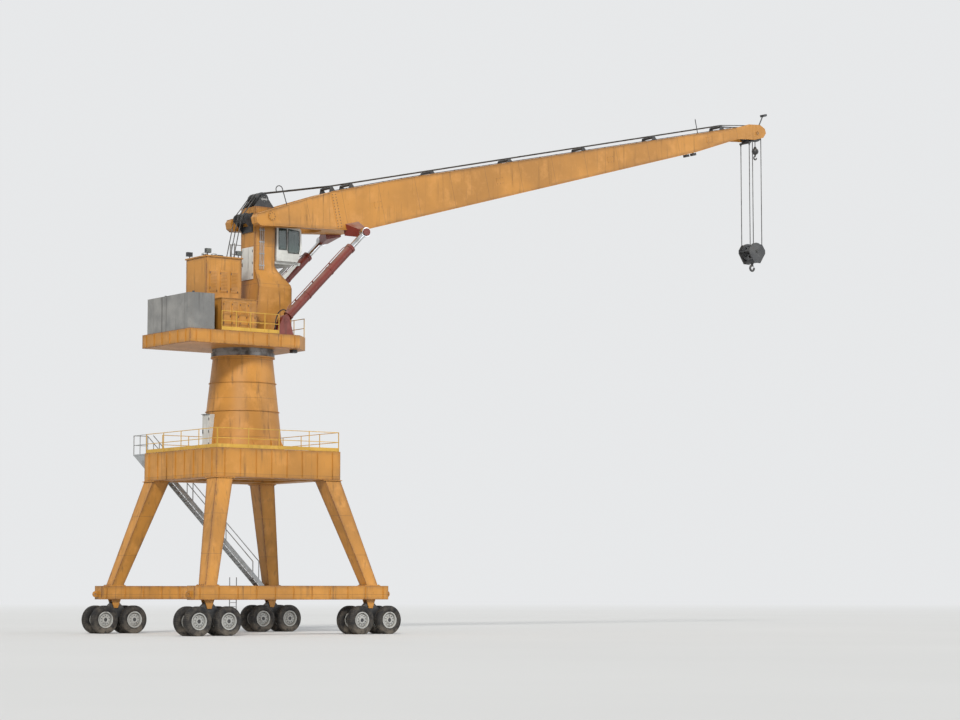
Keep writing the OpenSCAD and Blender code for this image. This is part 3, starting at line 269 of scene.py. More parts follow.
def painted(name, base, grime=0.5, rust=0.5, seams=None, gloss=0.42, edges=None):
    """Sprayed plate: the colour drifts, soot runs down, chips rust, edges wear and dust lies on top."""
    soot_reach, chip_reach = 0.13, 0.032
    s = Shade(name, Specular_IOR_Level=0.45)
    drift = s.noise(0.45, 4.0)
    blotch = s.noise(2.3, 5.0, rough=0.65)
    streak = s.noise(1.0, 5.0, (9.0, 9.0, 0.55), 0.6)
    fine = s.noise(38.0, 3.0)
    grain = s.noise(210.0, 2.0)
    faded = tuple(min(1.0, c * 1.12 + 0.03) for c in base)
    deep = tuple(c * 0.72 for c in base)
    color = s.mix(drift.ramp(0.35, 0.68), deep, base)
    color = s.mix(blotch.ramp(0.46, 0.74) * 0.55, color, faded)
    runs = streak.ramp(0.52, 0.74) * blotch.ramp(0.30, 0.62)
    color = s.mix(runs * grime, color, SOOT)
    spots = s.noise(9.0, 6.0, rough=0.7).ramp(0.655, 0.70) * drift.ramp(0.42, 0.6)
    bleed = s.noise(1.0, 4.0, (14.0, 14.0, 1.1)).ramp(0.60, 0.78) * drift.ramp(0.46, 0.62)
    color = s.mix(bleed * (0.55 * rust), color, RUST)
    color = s.mix(spots * rust, color, RUST)
    height = grain * 0.15 + fine * 0.25 - spots * 0.5
    if seams is not None:
        line = seams(s)
        color = s.mix(line * 0.45, color, SOOT)
        height = height + line * 0.9
    if edges is not None:
        gap = edges(s)
        color = s.mix(gap.ramp(soot_reach, 0.0) * blotch.ramp(0.30, 0.62) * 0.4, color, SOOT)
        worn = (gap.ramp(chip_reach, 0.0) * 0.42 + s.noise(20.0, 6.0, rough=0.7)).ramp(0.80, 0.86)
        color = s.mix(worn * 0.85, color, RUST)
        height = height - worn * 0.5
        gloss = gloss + worn * 0.22
    settled = s.upward() * blotch.ramp(0.25, 0.6)
    color = s.mix(settled * 0.45, color, DUST)
    rough = 0.10 * fine + 0.25 * spots + 0.18 * runs + 0.2 * settled + gloss
    return s.finish(color, rough, height, 0.0022)


def jib_place(s):
    """How far a point lies along the jib from its pivot, and over the jib's axis."""
    x, z = s.x - float(PIVOT[0]), s.z - float(PIVOT[2])
    return x * JIB_COS + z * JIB_SIN, z * JIB_COS - x * JIB_SIN


def jib_seams(s):
    """Weld lines across the jib, one to each 1.35 m of its own length."""
    return jib_place(s)[0].pulse(1.35, 0.016)


def jib_edges(s):
    """How far a point lies from the jib's edges: the larger of its gaps to the sides and to the plates."""
    along, over = jib_place(s)
    across = s.y.size().gap(along.follow(*JIB_HALF))
    return across.most(over.gap(along.follow(*JIB_TOP), along.follow(*JIB_LOW)))


def leg_edges(s):
    """The legs lean in, so that their middle and their half width change with the height."""
    middle = s.z.follow(LEG_Z, (WHEEL_LINE, LEG_HEAD))
    half = s.z.follow(LEG_Z, LEG_HALF)
    low, high = middle - half, middle + half
    return s.x.size().gap(low, high).most(s.y.size().gap(low, high))


def wall_at(s, wall):
    """A wall's place at a point's own height: a number, or some heights and the places there."""
    return s.z.follow(*wall) if isinstance(wall, tuple) else wall


def walls(back, front, sides, levels):
    """The edges of a piece with walls at these places: the middle one of a point's gaps along x, y and z."""
    def edges(s):
        x = s.x.gap(wall_at(s, back), wall_at(s, front))
        y = s.y.size().gap(*(wall_at(s, side) for side in sides))
        z = s.z.gap(*levels)
        return x.least(y).most(x.most(y).least(z))
    return edges


def box_walls(node, inset=0.0, inner=()):
    """The edges of a box-shaped piece or mirrored pair; inset is what a lid or a lug adds to its box."""
    low, high = box_of(node)
    back, front, side, top = low[0] + inset, high[0] - inset, high[1] - inset, high[2] - inset
    return walls(back, front, (side, *inner), (low[2], top))


def tower_edges():
    """The tower's foot splays under its straight column, on all four sides."""
    back = (DECK_TOP, TOE), TOWER_BACK
    front = (TOE, CHIN), TOWER_FRONT
    side = (WAIST, SHOULDER), TOWER_SIDE
    return walls(back, front, (side,), (DECK_TOP, TOWER_TOP))


def sill_edges():
    """The sills are two straight boxes, each with an inner and an outer wall."""
    inner, outer = WHEEL_LINE - SILL_HALF, WHEEL_LINE + SILL_HALF
    return walls(-SILL_END, SILL_END, (inner, outer), (SILL_LOW, SILL_TOP))


def wall_seams(s):
    """Level weld lines of the tower, the deck and the portal."""
    return s.z.pulse(1.1, 0.014)


def tyre_rubber():
    """Each axle is folded onto one, so that the tread's cross cuts can follow the angle round it."""
    s = Shade("rubber", Specular_IOR_Level=0.3)
    cuts = 44
    local = (s.x.size() - WHEEL_LINE).size() - AXLE_REACH
    up = s.z - AXLE_Z
    out = (local * local + up * up).math("SQRT")
    turn = up.math("ARCTAN2", local)
    cut_and_shade = turn.pulse(math.tau / cuts, 0.035) * out.ramp(TYRE_RADIUS - 0.045, TYRE_RADIUS - 0.03)
    ribs = out.pulse(0.022, 0.006) * out.ramp(TYRE_RADIUS - 0.05, TYRE_RADIUS - 0.09)
    mud = s.noise(6.0, 5.0, rough=0.65)
    fine = s.noise(60.0, 3.0)
    color = s.mix(mud.ramp(0.35, 0.75), (0.016, 0.016, 0.017), (0.075, 0.066, 0.055))
    # Painted shade: the cross cuts are painted near black in the colour, over the bump that sinks them.
    color = s.mix(cut_and_shade * 0.8, color, (0.008, 0.008, 0.008))
    low = s.z.ramp(0.32, 0.02) * mud.ramp(0.3, 0.6)
    color = s.mix(low * 0.7, color, (0.17, 0.145, 0.115))
    height = fine * 0.25 + mud * 0.3 - cut_and_shade * 2.2 + ribs * 0.25
    return s.finish(color, 0.12 * fine + 0.12 * mud + 0.66, height, 0.006)


def wire_rope():
    """Greased strands that wind round the rope, the grooves between them painted darker as painted shade."""
    s = Shade("wire_rope", Metallic=0.7)
    strands = (s.x + s.y * 1.3 + s.z).pulse(0.022, 0.014)
    grease = s.noise(5.0, 4.0)
    color = s.mix(grease.ramp(0.4, 0.65), (0.16, 0.155, 0.15), (0.035, 0.031, 0.026))
    # Painted shade: the grooves of the winding are painted darker.
    color = s.mix(strands * 0.5, color, (0.02, 0.018, 0.016))
    return s.finish(color, 0.25 * grease + 0.36, strands * -1.0, 0.003)


def dark_steel():
    """Dark grey castings and cheeks, with rusty scuffs and dust on top."""
    s = Shade("dark_steel", Specular_IOR_Level=0.5)
    patch = s.noise(1.9, 5.0, rough=0.65)
    fine = s.noise(55.0, 3.0)
    scuff = s.noise(14.0, 6.0, rough=0.72).ramp(0.62, 0.70)
    color = s.mix(patch.ramp(0.35, 0.68), (0.020, 0.021, 0.023), (0.060, 0.060, 0.060))
    color = s.mix(scuff * 0.65, color, RUST)
    settled = s.upward() * patch.ramp(0.3, 0.6)
    color = s.mix(settled * 0.35, color, DUST)
    return s.finish(color, 0.16 * fine + 0.2 * scuff + 0.15 * patch + 0.3, fine * 0.4 + scuff * 0.4)


def chrome_rod():
    """Hard chrome under a film of oil, with fine scratches."""
    s = Shade("chrome_rod", Metallic=1.0)
    film = s.noise(4.0, 4.0)
    hair = s.noise(3.0, 3.0, (60.0, 60.0, 60.0))
    color = s.mix(film.ramp(0.4, 0.7), (0.60, 0.61, 0.63), (0.38, 0.37, 0.35))
    return s.finish(color, 0.12 * film + 0.06 * hair + 0.1, hair, 0.0004)


def machined_steel():
    """Turned ring faces, dark with old grease."""
    s = Shade("ring_steel", Metallic=0.85)
    film = s.noise(2.6, 5.0)
    groove = s.z.pulse(0.012, 0.004)
    color = s.mix(film.ramp(0.38, 0.66), (0.26, 0.255, 0.25), (0.06, 0.05, 0.042))
    return s.finish(color, 0.3 * film + 0.26, groove * -0.4 + film * 0.3)


def galvanised():
    """Zinc crystals, dull with dust; the tread pattern is pressed into level plates."""
    s = Shade("galvanised", Metallic=0.55)
    spangle = s.cells(34.0)
    blotch = s.noise(3.2, 4.0)
    ridges = [slant.pulse(0.03, 0.008) for slant in (s.x + s.y, s.x - s.y)]
    tread = (ridges[0] + ridges[1]).ramp(0.4, 1.4) * s.upward()
    color = s.mix(spangle.ramp(0.1, 0.8), (0.30, 0.31, 0.315), (0.42, 0.43, 0.43))
    color = s.mix(blotch.ramp(0.5, 0.72) * 0.6, color, (0.20, 0.18, 0.155))
    return s.finish(color, 0.2 * blotch + 0.1 * spangle + 0.38, tread + spangle * 0.1, 0.003)


def tinted_glass():
    """Green tinted panes with a dusty lower edge."""
    s = Shade("tinted_glass", Alpha=0.72, Specular_IOR_Level=0.7)
    film = s.noise(3.5, 4.0)
    pane_low = float(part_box("cab_glass")[0].z)
    dust = s.z.ramp(pane_low + 0.35, pane_low) * film
    color = s.mix(film.ramp(0.35, 0.7), (0.020, 0.045, 0.038), (0.034, 0.066, 0.055))
    color = s.mix(dust * 0.6, color, DUST)
    return s.finish(color, 0.08 * film + 0.2 * dust + 0.05)


def ballast_paint():
    """Cast slabs under thick grey paint, with sooty runs and rusty pits."""
    s = Shade("ballast", Specular_IOR_Level=0.4)
    patch = s.noise(1.2, 5.0, rough=0.6)
    pits = s.noise(26.0, 4.0, rough=0.7)
    streak = s.noise(1.0, 4.0, (8.0, 8.0, 0.5)).ramp(0.52, 0.74)
    color = s.mix(patch.ramp(0.3, 0.7), (0.16, 0.16, 0.155), (0.27, 0.265, 0.25))
    color = s.mix(streak * 0.6, color, SOOT)
    color = s.mix(pits.ramp(0.64, 0.70) * 0.7, color, RUST)
    return s.finish(color, 0.2 * pits + 0.2 * streak + 0.5, pits, 0.006)


OCHRE = (0.53, 0.235, 0.036)
MAROON = (0.20, 0.034, 0.022)
OFF_WHITE = (0.66, 0.665, 0.63)
RAIL_YELLOW = (0.62, 0.36, 0.045)
WHEEL_GREY = (0.42, 0.42, 0.40)

ochre_jib = painted("ochre_jib", OCHRE, 0.45, 0.35, jib_seams)
ochre_plate = painted("ochre_plate", OCHRE, 0.62, 0.5, wall_seams)
ochre_sheet = painted("ochre_sheet", OCHRE, 0.62, 0.4)

# The large pieces wear at their own edges. The welded ones show seams, the sheet ones none.
WELDED = {
    "portal_frame": box_walls("portal_frame"),
    "deck": box_walls("deck"),
    "sills": sill_edges(),
    "tower": tower_edges(),
    "legs": leg_edges,
}
SHEET = {
    "machine_house": box_walls("machine_house", 0.03),
    "side_cabinets": box_walls("side_cabinets", 0.015, (CABINET_INNER,)),
}
WORN = {"jib_head": ochre_jib}
for node, edges in WELDED.items():
    WORN[node] = painted("ochre_" + node, OCHRE, 0.62, 0.5, wall_seams, edges=edges)
for node, edges in SHEET.items():
    WORN[node] = painted("ochre_" + node, OCHRE, 0.62, 0.5, edges=edges)
WORN["jib_root"] = WORN["jib_box"] = painted("ochre_girder", OCHRE, 0.45, 0.35, jib_seams, edges=jib_edges)
FINISHES = {
    "yellow_paint": ochre_plate,
    "maroon_paint": painted("maroon", MAROON, 0.5, 0.3, gloss=0.3),
    "white_paint": painted("off_white", OFF_WHITE, 0.5, 0.5),
    "rail_paint": painted("rail_yellow", RAIL_YELLOW, 0.35, 0.6),
    "wheel_paint": painted("wheel_grey", WHEEL_GREY, 0.8, 0.7),
    "dark_steel": dark_steel(),
    "wire_rope": wire_rope(),
    "grey_steel": galvanised(),
    "tyre": tyre_rubber(),
    "tinted_glass": tinted_glass(),
    "chrome_rod": chrome_rod(),
    "ballast": ballast_paint(),
    "ring_steel": machined_steel(),
}
SLOTS = {p["node"]: p["material_slot"] for p in frame["record"]["subparts"]}
for name, node in frame["nodes"].items():
    node.data.materials.clear()
    node.data.materials.append(WORN.get(name) or FINISHES[SLOTS[name]])


# Helpers for the small pieces

def mesh_piece(name, points, faces, body, slot, material=None, smooth=False):
    """One mesh object from arrays of points and faces. It rides on a CAD body, unless that is None."""
    points = np.asarray(points, float).reshape(-1, 3)
    mesh = bpy.data.meshes.new(name)
    mesh.from_pydata(points.tolist(), [], [[int(corner) for corner in face] for face in faces])
    tidy = bmesh.new()
    tidy.from_mesh(mesh)
    bmesh.ops.recalc_face_normals(tidy, faces=tidy.faces)
    tidy.to_mesh(mesh)
    tidy.free()
    if smooth:
        mesh.shade_smooth()
    else:
        mesh.shade_flat()
    mesh.materials.append(material or FINISHES[slot])
    piece = bpy.data.objects.new(name, mesh)
    bpy.context.scene.collection.objects.link(piece)
    if body is not None:
        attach(piece, body)
    return piece


def grid(*axes):
    """Every combination of the values given for x, y and z, one point to a row."""
    return np.stack(np.meshgrid(*[np.atleast_1d(a) for a in axes], indexing="ij"), -1).reshape(-1, 3)


def circle(centre, radius, count, axis=2):
    """Points on a circle that is square to one of the axes."""
    t = np.arange(count) * math.tau / count
    points = np.zeros((count, 3))
    points[:, (axis + 1) % 3] = radius * np.cos(t)
    points[:, (axis + 2) % 3] = radius * np.sin(t)
    return points + np.asarray(centre)


def on_jib(s, y, t):
    """Frame points of places on the jib: s along it, y across, t over its axis."""
    s, y, t = np.broadcast_arrays(np.asarray(s, float), y, t)
    return np.stack([PIVOT[0] + s * JIB_COS - t * JIB_SIN, y, PIVOT[2] + s * JIB_SIN + t * JIB_COS], -1)


def on_barrel(reach, lift, y):
    """Frame points of places on a barrel: reach along it from its pin, lift over its axis, y across."""
    reach, lift, y = (a[..., None] for a in np.broadcast_arrays(np.asarray(reach, float), lift, y))
    return BARREL_PIN + reach * BARREL_WAY + lift * BARREL_OUT + y * np.array([0, 1.0, 0])


def join(parts):
    """Several (points, faces) pairs as one."""
    points, faces, base = [], [], 0
    for p, f in parts:
        points.append(p)
        faces += [[int(i) + base for i in face] for face in f]
        base += len(p)
    return np.concatenate(points), faces


BOX_CORNERS = np.array([[x, y, z] for x in (-.5, .5) for y in (-.5, .5) for z in (-.5, .5)])
BOX_FACES = np.array([[0, 1, 3, 2], [4, 6, 7, 5], [0, 4, 5, 1], [2, 3, 7, 6], [0, 2, 6, 4], [1, 5, 7, 3]])


def boxes(centres, sizes, turn=None):
    """Points and faces of many boxes; turn is one 3 by 3 matrix for all, applied about each centre."""
    centres = np.atleast_2d(centres)
    sizes = np.broadcast_to(np.atleast_2d(sizes), centres.shape)
    local = BOX_CORNERS[None] * sizes[:, None]
    if turn is not None:
        local = local @ np.asarray(turn).T
    points = (centres[:, None] + local).reshape(-1, 3)
    faces = (BOX_FACES[None] + 8 * np.arange(len(centres))[:, None, None]).reshape(-1, 4)
    return points, faces


def unit(rows):
    """Each row as a direction of length 1."""
    return rows / np.linalg.norm(rows, axis=1, keepdims=True)


def hoop(u, v, radius, sides):
    """A circle for each pair of directions: the radius times cosine along u plus sine along v."""
    t = np.arange(sides) * math.tau / sides
    return radius * (np.cos(t)[None, :, None] * u[:, None] + np.sin(t)[None, :, None] * v[:, None])


def quads(rows, columns, closed):
    """Four-sided faces between neighbours on a grid that closes across, and along too where closed."""
    i, k = np.meshgrid(np.arange(rows if closed else rows - 1), np.arange(columns), indexing="ij")
    j, n = (i + 1) % rows, (k + 1) % columns
    corners = [i * columns + k, j * columns + k, j * columns + n, i * columns + n]
    return np.stack(corners, -1).reshape(-1, 4).tolist()


def studs(centres, axis, radius, height, sides=6):
    """Short prisms, as bolt heads: a ring of corners about each centre, pushed out along the axis."""
    centres = np.atleast_2d(centres)
    axes = np.broadcast_to(np.atleast_2d(axis), centres.shape).astype(float)
    helper = np.where(np.abs(axes[:, 2:3]) > 0.9, [[1.0, 0, 0]], [[0, 0, 1.0]])
    u = unit(np.cross(axes, helper))
    foot = centres[:, None] + hoop(u, np.cross(axes, u), radius, sides)
    points = np.concatenate([foot, foot + height * axes[:, None]], 1)
    k = np.arange(sides)
    n = (k + 1) % sides
    flanks = np.stack([k, n, n + sides, k + sides], 1)
    faces = []
    for base in 2 * sides * np.arange(len(centres)):
        faces += (flanks + base).tolist() + [(k + sides + base).tolist(), (k[::-1] + base).tolist()]
    return points.reshape(-1, 3), faces


def loft(rings):
    """Skin over a row of rings that have equally many points, closed by a face at each end."""
    rings = np.asarray(rings, float)
    count, around = rings.shape[:2]
    last = (count - 1) * around
    ends = [list(range(around - 1, -1, -1)), list(range(last, last + around))]
    return rings.reshape(-1, 3), quads(count, around, False) + ends


def turned(profile, place, sides=96):
    """A ring: the corners of a closed profile, given as radius and height, each swept round +Z."""
    radii, heights = np.asarray(profile, float).T
    t = np.arange(sides)[:, None] * math.tau / sides
    heights = np.broadcast_to(heights, (sides, len(radii)))
    points = np.stack([radii * np.cos(t), radii * np.sin(t), heights], -1) + np.asarray(place, float)
    return points.reshape(-1, 3), quads(sides, len(radii), True)


def tube(path, radius, sides=10):
    """A tube that follows a path: at each point a ring square to the way the path runs there."""
    path = np.asarray(path, float)
    way = unit(np.gradient(path, axis=0))
    u = unit(np.cross(way, [0.0, 1.0, 0.03]))
    return loft(path[:, None] + hoop(u, np.cross(way, u), radius, sides))


def outline_tube(corners, radius):
    """A thin bead along a closed row of corners, one straight length to each side."""
    corners = np.asarray(corners, float)
    ends = np.roll(corners, -1, 0)
    return join([tube([p, (p + q) / 2, q], radius, 6) for p, q in zip(corners, ends)])


def jib_half(s):
    """The jib's half width at a place along it, on the straight lines between its stops."""
    return np.interp(s, *JIB_HALF)


def jib_top(s):
    """The height of the jib's upper edge over its axis, on the straight lines between its stops."""
    return np.interp(s, *JIB_TOP)


def jib_low(s):
    """The height of the jib's lower edge over its axis, on the straight lines between its stops."""
    return np.interp(s, *JIB_LOW)


def pedestal_radius(rise):
    """The pedestal is a cone: its radius falls evenly with the height over the frame."""
    return 1.15 - 0.30 * rise / 2.7


# What the CAD part leaves out

def flange_bolts():
    """Nuts in the pedestal's lower flange, one in each of its holes, and bolt heads round the ring."""
    nuts_z = box_of("pedestal")[0][2] + 0.030
    nuts = studs(circle((0, 0, nuts_z), 1.2, 36), (0, 0, 1), 0.019, 0.026)
    mesh_piece("foot_bolts", *nuts, "portal", "dark_steel")
    ring_z = box_of("slew_ring_fixed")[1][2] - 0.004
    heads = studs(circle((0, 0, ring_z), 0.885, 72), (0, 0, 1), 0.010, 0.012)
    mesh_piece("ring_bolts", *heads, "portal", "dark_steel")


def wheel_nuts():
    """Ten nuts on each wheel's dish, on the side that faces away from the bogie."""
    twin, dish = 0.26, 0.069
    parts = []
    for x in (end * WHEEL_LINE + step * AXLE_REACH for end in (1, -1) for step in (-1, 1)):
        for y in (WHEEL_LINE, -WHEEL_LINE):
            for side in (1, -1):
                ring = circle((x, y + side * (twin + dish), AXLE_Z), 0.125, 10, 1)
                parts.append(studs(ring, (0, side, 0), 0.012, 0.016))
    mesh_piece("wheel_nuts", *join(parts), "portal", "dark_steel")


def louvres():
    """Slats at even steps up the doors of the house and of the cabinets, each tipped to shed rain."""
    tip = math.radians(38)
    turn = np.array([[1, 0, 0], [0, math.cos(tip), -math.sin(tip)], [0, math.sin(tip), math.cos(tip)]])
    house_z = DECK_TOP + 1.20 + 0.04 * np.arange(14)
    cabinet_z = DECK_TOP + 0.50 + 0.035 * np.arange(10)
    parts = []
    for xs, wall, zs, size in (
            (HOUSE_DOORS + 0.12, HOUSE_SIDE + 0.014, house_z, (0.20, 0.004, 0.034)),
            (CABINET_DOORS + 0.1175, CABINET_SIDE + 0.012, cabinet_z, (0.17, 0.004, 0.030))):
        for sign in (1, -1):
            flip = np.diag([1, sign, 1])
            parts.append(boxes(grid(xs, sign * wall, zs), size, flip @ turn @ flip))
    mesh_piece("louvres", *join(parts), "upperworks", "yellow_paint", ochre_sheet)


def door_fittings():
    """Handles and hinges of the doors on the house, the cabinets and the tower."""
    handle, hinge_x, inset = (0.012, 0.018, 0.05), 0.006, 0.003
    house = HOUSE_DOORS, HOUSE_SIDE + 0.022, 0.222, 1.18, (1.25, 1.68), (0.016, 0.012, 0.06)
    cabinet = CABINET_DOORS, CABINET_SIDE + 0.02, 0.215, 0.40, (0.22, 0.74), (0.014, 0.010, 0.05)
    parts = []
    for sign in (1, -1):
        for doors, face, handle_x, handle_z, hinges_z, hinge in (house, cabinet):
            parts.append(boxes(grid(doors + handle_x, sign * face, DECK_TOP + handle_z), handle))
            hinges = grid(doors + hinge_x, sign * (face - inset), DECK_TOP + np.array(hinges_z))
            parts.append(boxes(hinges, hinge))
    low = box_of("tower_door")[0]
    x = low[0] - 0.006
    parts.append(boxes(grid(x, 0.26, low[2] + 0.45), (0.016, 0.02, 0.10)))
    parts.append(boxes(grid(x, -0.296, low[2] + np.array([0.12, 0.46, 0.80])), (0.012, 0.014, 0.07)))
    mesh_piece("door_fittings", *join(parts), "upperworks", "dark_steel")


def toe_boards():
    """Low plates along the foot of the railings, open where the stair comes up."""
    thick, tall, rise = 0.006, 0.10, 0.055
    low, high = box_of("portal_railing")
    edge, z = high[0] - 0.012, low[2] + rise
    parts = [boxes([[0, -edge, z]], (2 * edge, thick, tall))]
    parts.append(boxes([[(edge + STAIR_TOP_X) / 2, edge, z]], (edge - STAIR_TOP_X, thick, tall)))
    parts += [boxes([[side * edge, 0, z]], (thick, 2 * edge - 0.02, tall)) for side in (1, -1)]
    mesh_piece("portal_toe_boards", *join(parts), "portal", "rail_paint")
    low, high = box_of("deck_railing")
    back, front = low[0], float(BARREL_PIN[0]) - 0.26
    y, z = high[1] - 0.009, low[2] + rise
    parts = [boxes([[(back + front) / 2, side * y, z]], (front - back, thick, tall)) for side in (1, -1)]
    mesh_piece("deck_toe_boards", *join(parts), "upperworks", "rail_paint")


def barrel_pipes():
    """A steel pipe up the top of each barrel, clipped to it, from the foot port to the mouth port."""
    reach = [0.24, 0.30, 0.36, 0.45, 1.0, 2.0, 2.8, 2.95, 3.02, 3.06]
    lift = [0.130, 0.150, 0.172, 0.178, 0.178, 0.178, 0.178, 0.174, 0.160, 0.14]
    turn = np.stack([BARREL_WAY, [0, 1, 0], BARREL_OUT], 1)
    for side, y in CYLINDERS.items():
        pipe = tube(on_barrel(reach, lift, y), 0.013)
        clips = boxes(on_barrel([0.7, 1.5, 2.3], 0.152, y), (0.03, 0.05, 0.05), turn)
        mesh_piece("barrel_pipe_" + side, *join([pipe, clips]), "barrels", "maroon_paint")


def luff_ropes():
    """Three ropes from the mast head to the jib's first roller, straight along the sheaves' tangent."""
    radius = 0.19
    roller = on_jib(2.6, 0.0, 0.6)
    apart = roller - MAST_AXLE
    touch = math.atan2(apart[2], apart[0]) + math.acos(radius / math.hypot(apart[0], apart[2]))
    start = MAST_AXLE + radius * np.array([math.cos(touch), 0, math.sin(touch)])
    ends = np.array([start, roller])
    parts = [tube(ends + np.array([0, y, 0]), ROPE_RADIUS, 12) for y in (-ROPE_Y, 0.0, ROPE_Y)]
    piece = mesh_piece("luffing_ropes", *join(parts), None, "wire_rope", smooth=True)
    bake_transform(piece)
    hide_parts("luff_ropes")


def falls():
    """Each fall as a tube with rings only at its ends."""
    low, high = box_of("main_falls")
    sheave_reach, anchor_z = 0.262, HEAD[2] - 0.405
    parts = []
    for y in (-ROPE_Y, ROPE_Y):
        for x, top in ((HEAD[0] + sheave_reach, high[2]), (HEAD[0] - sheave_reach, anchor_z)):
            parts.append(tube([[x, y, low[2]], [x, y, top]], ROPE_RADIUS, 12))
    piece = mesh_piece("hoist_falls", *join(parts), None, "wire_rope", smooth=True)
    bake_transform(piece)
    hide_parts("main_falls")
    low, high = box_of("whip_fall")
    x = (low[0] + high[0]) / 2
    rope = tube([[x, 0, low[2]], [x, 0, high[2]]], ROPE_RADIUS, 12)
    piece = mesh_piece("whip_rope", *rope, None, "wire_rope", smooth=True)
    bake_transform(piece)
    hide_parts("whip_fall")


def cab_trim():
    """Two wipers on the cab's front and a grab rail on each side."""
    low, high = box_of("cab")
    rail_z = low[2] + 0.30 + 0.55 * np.array([0, 0.5, 1])
    parts = []
    for side in (1, -1):
        parts.append(boxes([[high[0] - 0.012, side * 0.19, low[2] + 0.52]], (0.010, 0.012, 0.34)))
        parts.append(tube(grid(low[0] + 0.38, side * (CAB_SIDE + 0.02), rail_z), 0.008, 8))
    mesh_piece("cab_trim", *join(parts), "upperworks", "dark_steel")


def lamp_lens():
    """The glass under the lamp at the jib's tip."""
    lamp_reach, lamp_lift = JIB_LENGTH + 0.72, 0.56
    centre = on_jib(lamp_reach + 0.015, 0.0, lamp_lift - 0.053)
    mesh_piece("lamp_lens", *boxes([centre], (0.12, 0.15, 0.012), JIB_TURN), "jib", "tinted_glass")


def jib_flanges():
    """Rims of the top and bottom plates: a bar's four corners carried along the jib past its side plates."""
    tuck, out, thick = 0.003, 0.016, 0.014
    top_stops = (-0.40, 0.0, 0.22, ROOT_END, 5.1, 18.89)
    low_stops = (-0.40, 0.22, ROOT_END, 3.13, JIB_BEND, 18.89)
    parts = []
    for edge, inward, stops in ((jib_top, -1, top_stops), (jib_low, 1, low_stops)):
        s = np.array(stops)
        near, far = jib_half(s) - tuck, jib_half(s) + out
        rim, web = edge(s), edge(s) + inward * thick
        corners = [(near, rim), (far, rim), (far, web), (near, web)]
        for side in (1, -1):
            parts.append(loft(np.stack([on_jib(s, side * y, t) for y, t in corners], 1)))
    mesh_piece("jib_flanges", *join(parts), "jib", "yellow_paint", ochre_jib)


def jib_seam_plates():
    """Splice plates with two rows of bolts over the seam between root and box, and four hatch covers."""
    rows = np.linspace(float(jib_low(ROOT_END)) + 0.10, float(jib_top(ROOT_END)) - 0.10, 12)
    middle, length = (rows[0] + rows[-1]) / 2, rows[-1] - rows[0] + 0.10
    plate_y, taper = 0.607, 0.07
    parts, bolts = [], []
    for side in (1, -1):
        turn = JIB_TURN @ np.array([[1, side * taper, 0], [-side * taper, 1, 0], [0, 0, 1]])
        parts.append(boxes([on_jib(ROOT_END, side * plate_y, middle)], (0.20, 0.012, length), turn))
        for at in (ROOT_END - 0.06, ROOT_END + 0.06):
            row = on_jib(at, side * (jib_half(at) + 0.012), rows)
            bolts.append(studs(row, (0, side, 0), 0.013, 0.012))
        for at in (3.9, 8.6, 13.2, 17.6):
            hatch_t = (float(jib_low(at)) + float(jib_top(at))) / 2
            half = float(jib_half(at))
            parts.append(boxes([on_jib(at, side * half, hatch_t)], (0.26, 0.016, 0.20), JIB_TURN))
            columns = at + np.array([-0.105, 0.0, 0.105])
            for t in (hatch_t - 0.08, hatch_t + 0.08):
                bolts.append(studs(on_jib(columns, side * (half + 0.006), t), (0, side, 0), 0.008, 0.008))
    mesh_piece("jib_splice_plates", *join(parts), "jib", "yellow_paint", ochre_jib)
    mesh_piece("jib_bolts", *join(bolts), "jib", "dark_steel")


def jib_conduit():
    """The lamp's cable pipe along the right edge of the top plate, held by saddle clips. Its dark finish is partly
    a painted shadow line along the jib's top edge.
    """
    inset, over = 0.024, 0.016
    s = np.linspace(2.5, 18.7, 28)
    pipe = tube(on_jib(s, inset - jib_half(s), jib_top(s) + over), 0.010, 8)
    s = np.linspace(2.9, 18.5, 24)
    spots = on_jib(s, inset - jib_half(s), jib_top(s) + over - 0.003)
    clips = boxes(spots, (0.018, 0.045, 0.028), JIB_TURN)
    # Dark steel finish: a cable pipe, and partly a painted shadow line along the jib's top edge.
    mesh_piece("jib_conduit", *join([pipe, clips]), "jib", "dark_steel")


def jib_flood_lamps():
    """Two work lamps under the jib, where its lower edge bends towards the head."""
    low, drop = float(jib_low(JIB_BEND)), 0.055
    parts, panes = [], []
    for y in (-0.17, 0.17):
        parts.append(boxes([on_jib(JIB_BEND, y, low - drop)], (0.16, 0.13, 0.08), JIB_TURN))
        parts.append(boxes([on_jib(JIB_BEND, y, low - 0.010)], (0.03, 0.05, 0.045), JIB_TURN))
        panes.append(boxes([on_jib(JIB_BEND, y, low - drop - 0.042)], (0.14, 0.11, 0.006), JIB_TURN))
    mesh_piece("jib_flood_lamps", *join(parts), "jib", "dark_steel")
    mesh_piece("jib_flood_panes", *join(panes), "jib", "tinted_glass")


def pin_bolts():
    """Bolts in the keeper plates on the ends of the pivot pins, the axles and the cylinder pins."""
    for name, body, (x, _, z), radius, face, count in (
            ("pivot_bolts", "upperworks", PIVOT, 0.095, 0.880, 8),
            ("head_axle_bolts", "jib", HEAD, 0.038, 0.330, 6),
            ("block_axle_bolts", "block", BLOCK_AXLE, 0.038, 0.287, 6)):
        rings = [(side, circle((x, side * face, z), radius, count, 1)) for side in (1, -1)]
        parts = [studs(ring, (0, side, 0), 0.011, 0.010) for side, ring in rings]
        mesh_piece(name, *join(parts), body, "dark_steel")
    lug_reach = 0.134
    parts = []
    for side in (1, -1):
        for sign in (1, -1):
            y = side * (CYLINDERS["left"] + sign * lug_reach)
            ring = circle((BARREL_PIN[0], y, BARREL_PIN[2]), 0.048, 4, 1)
            parts.append(studs(ring, (0, side * sign, 0), 0.010, 0.009))
    mesh_piece("barrel_pin_bolts", *join(parts), "upperworks", "dark_steel")


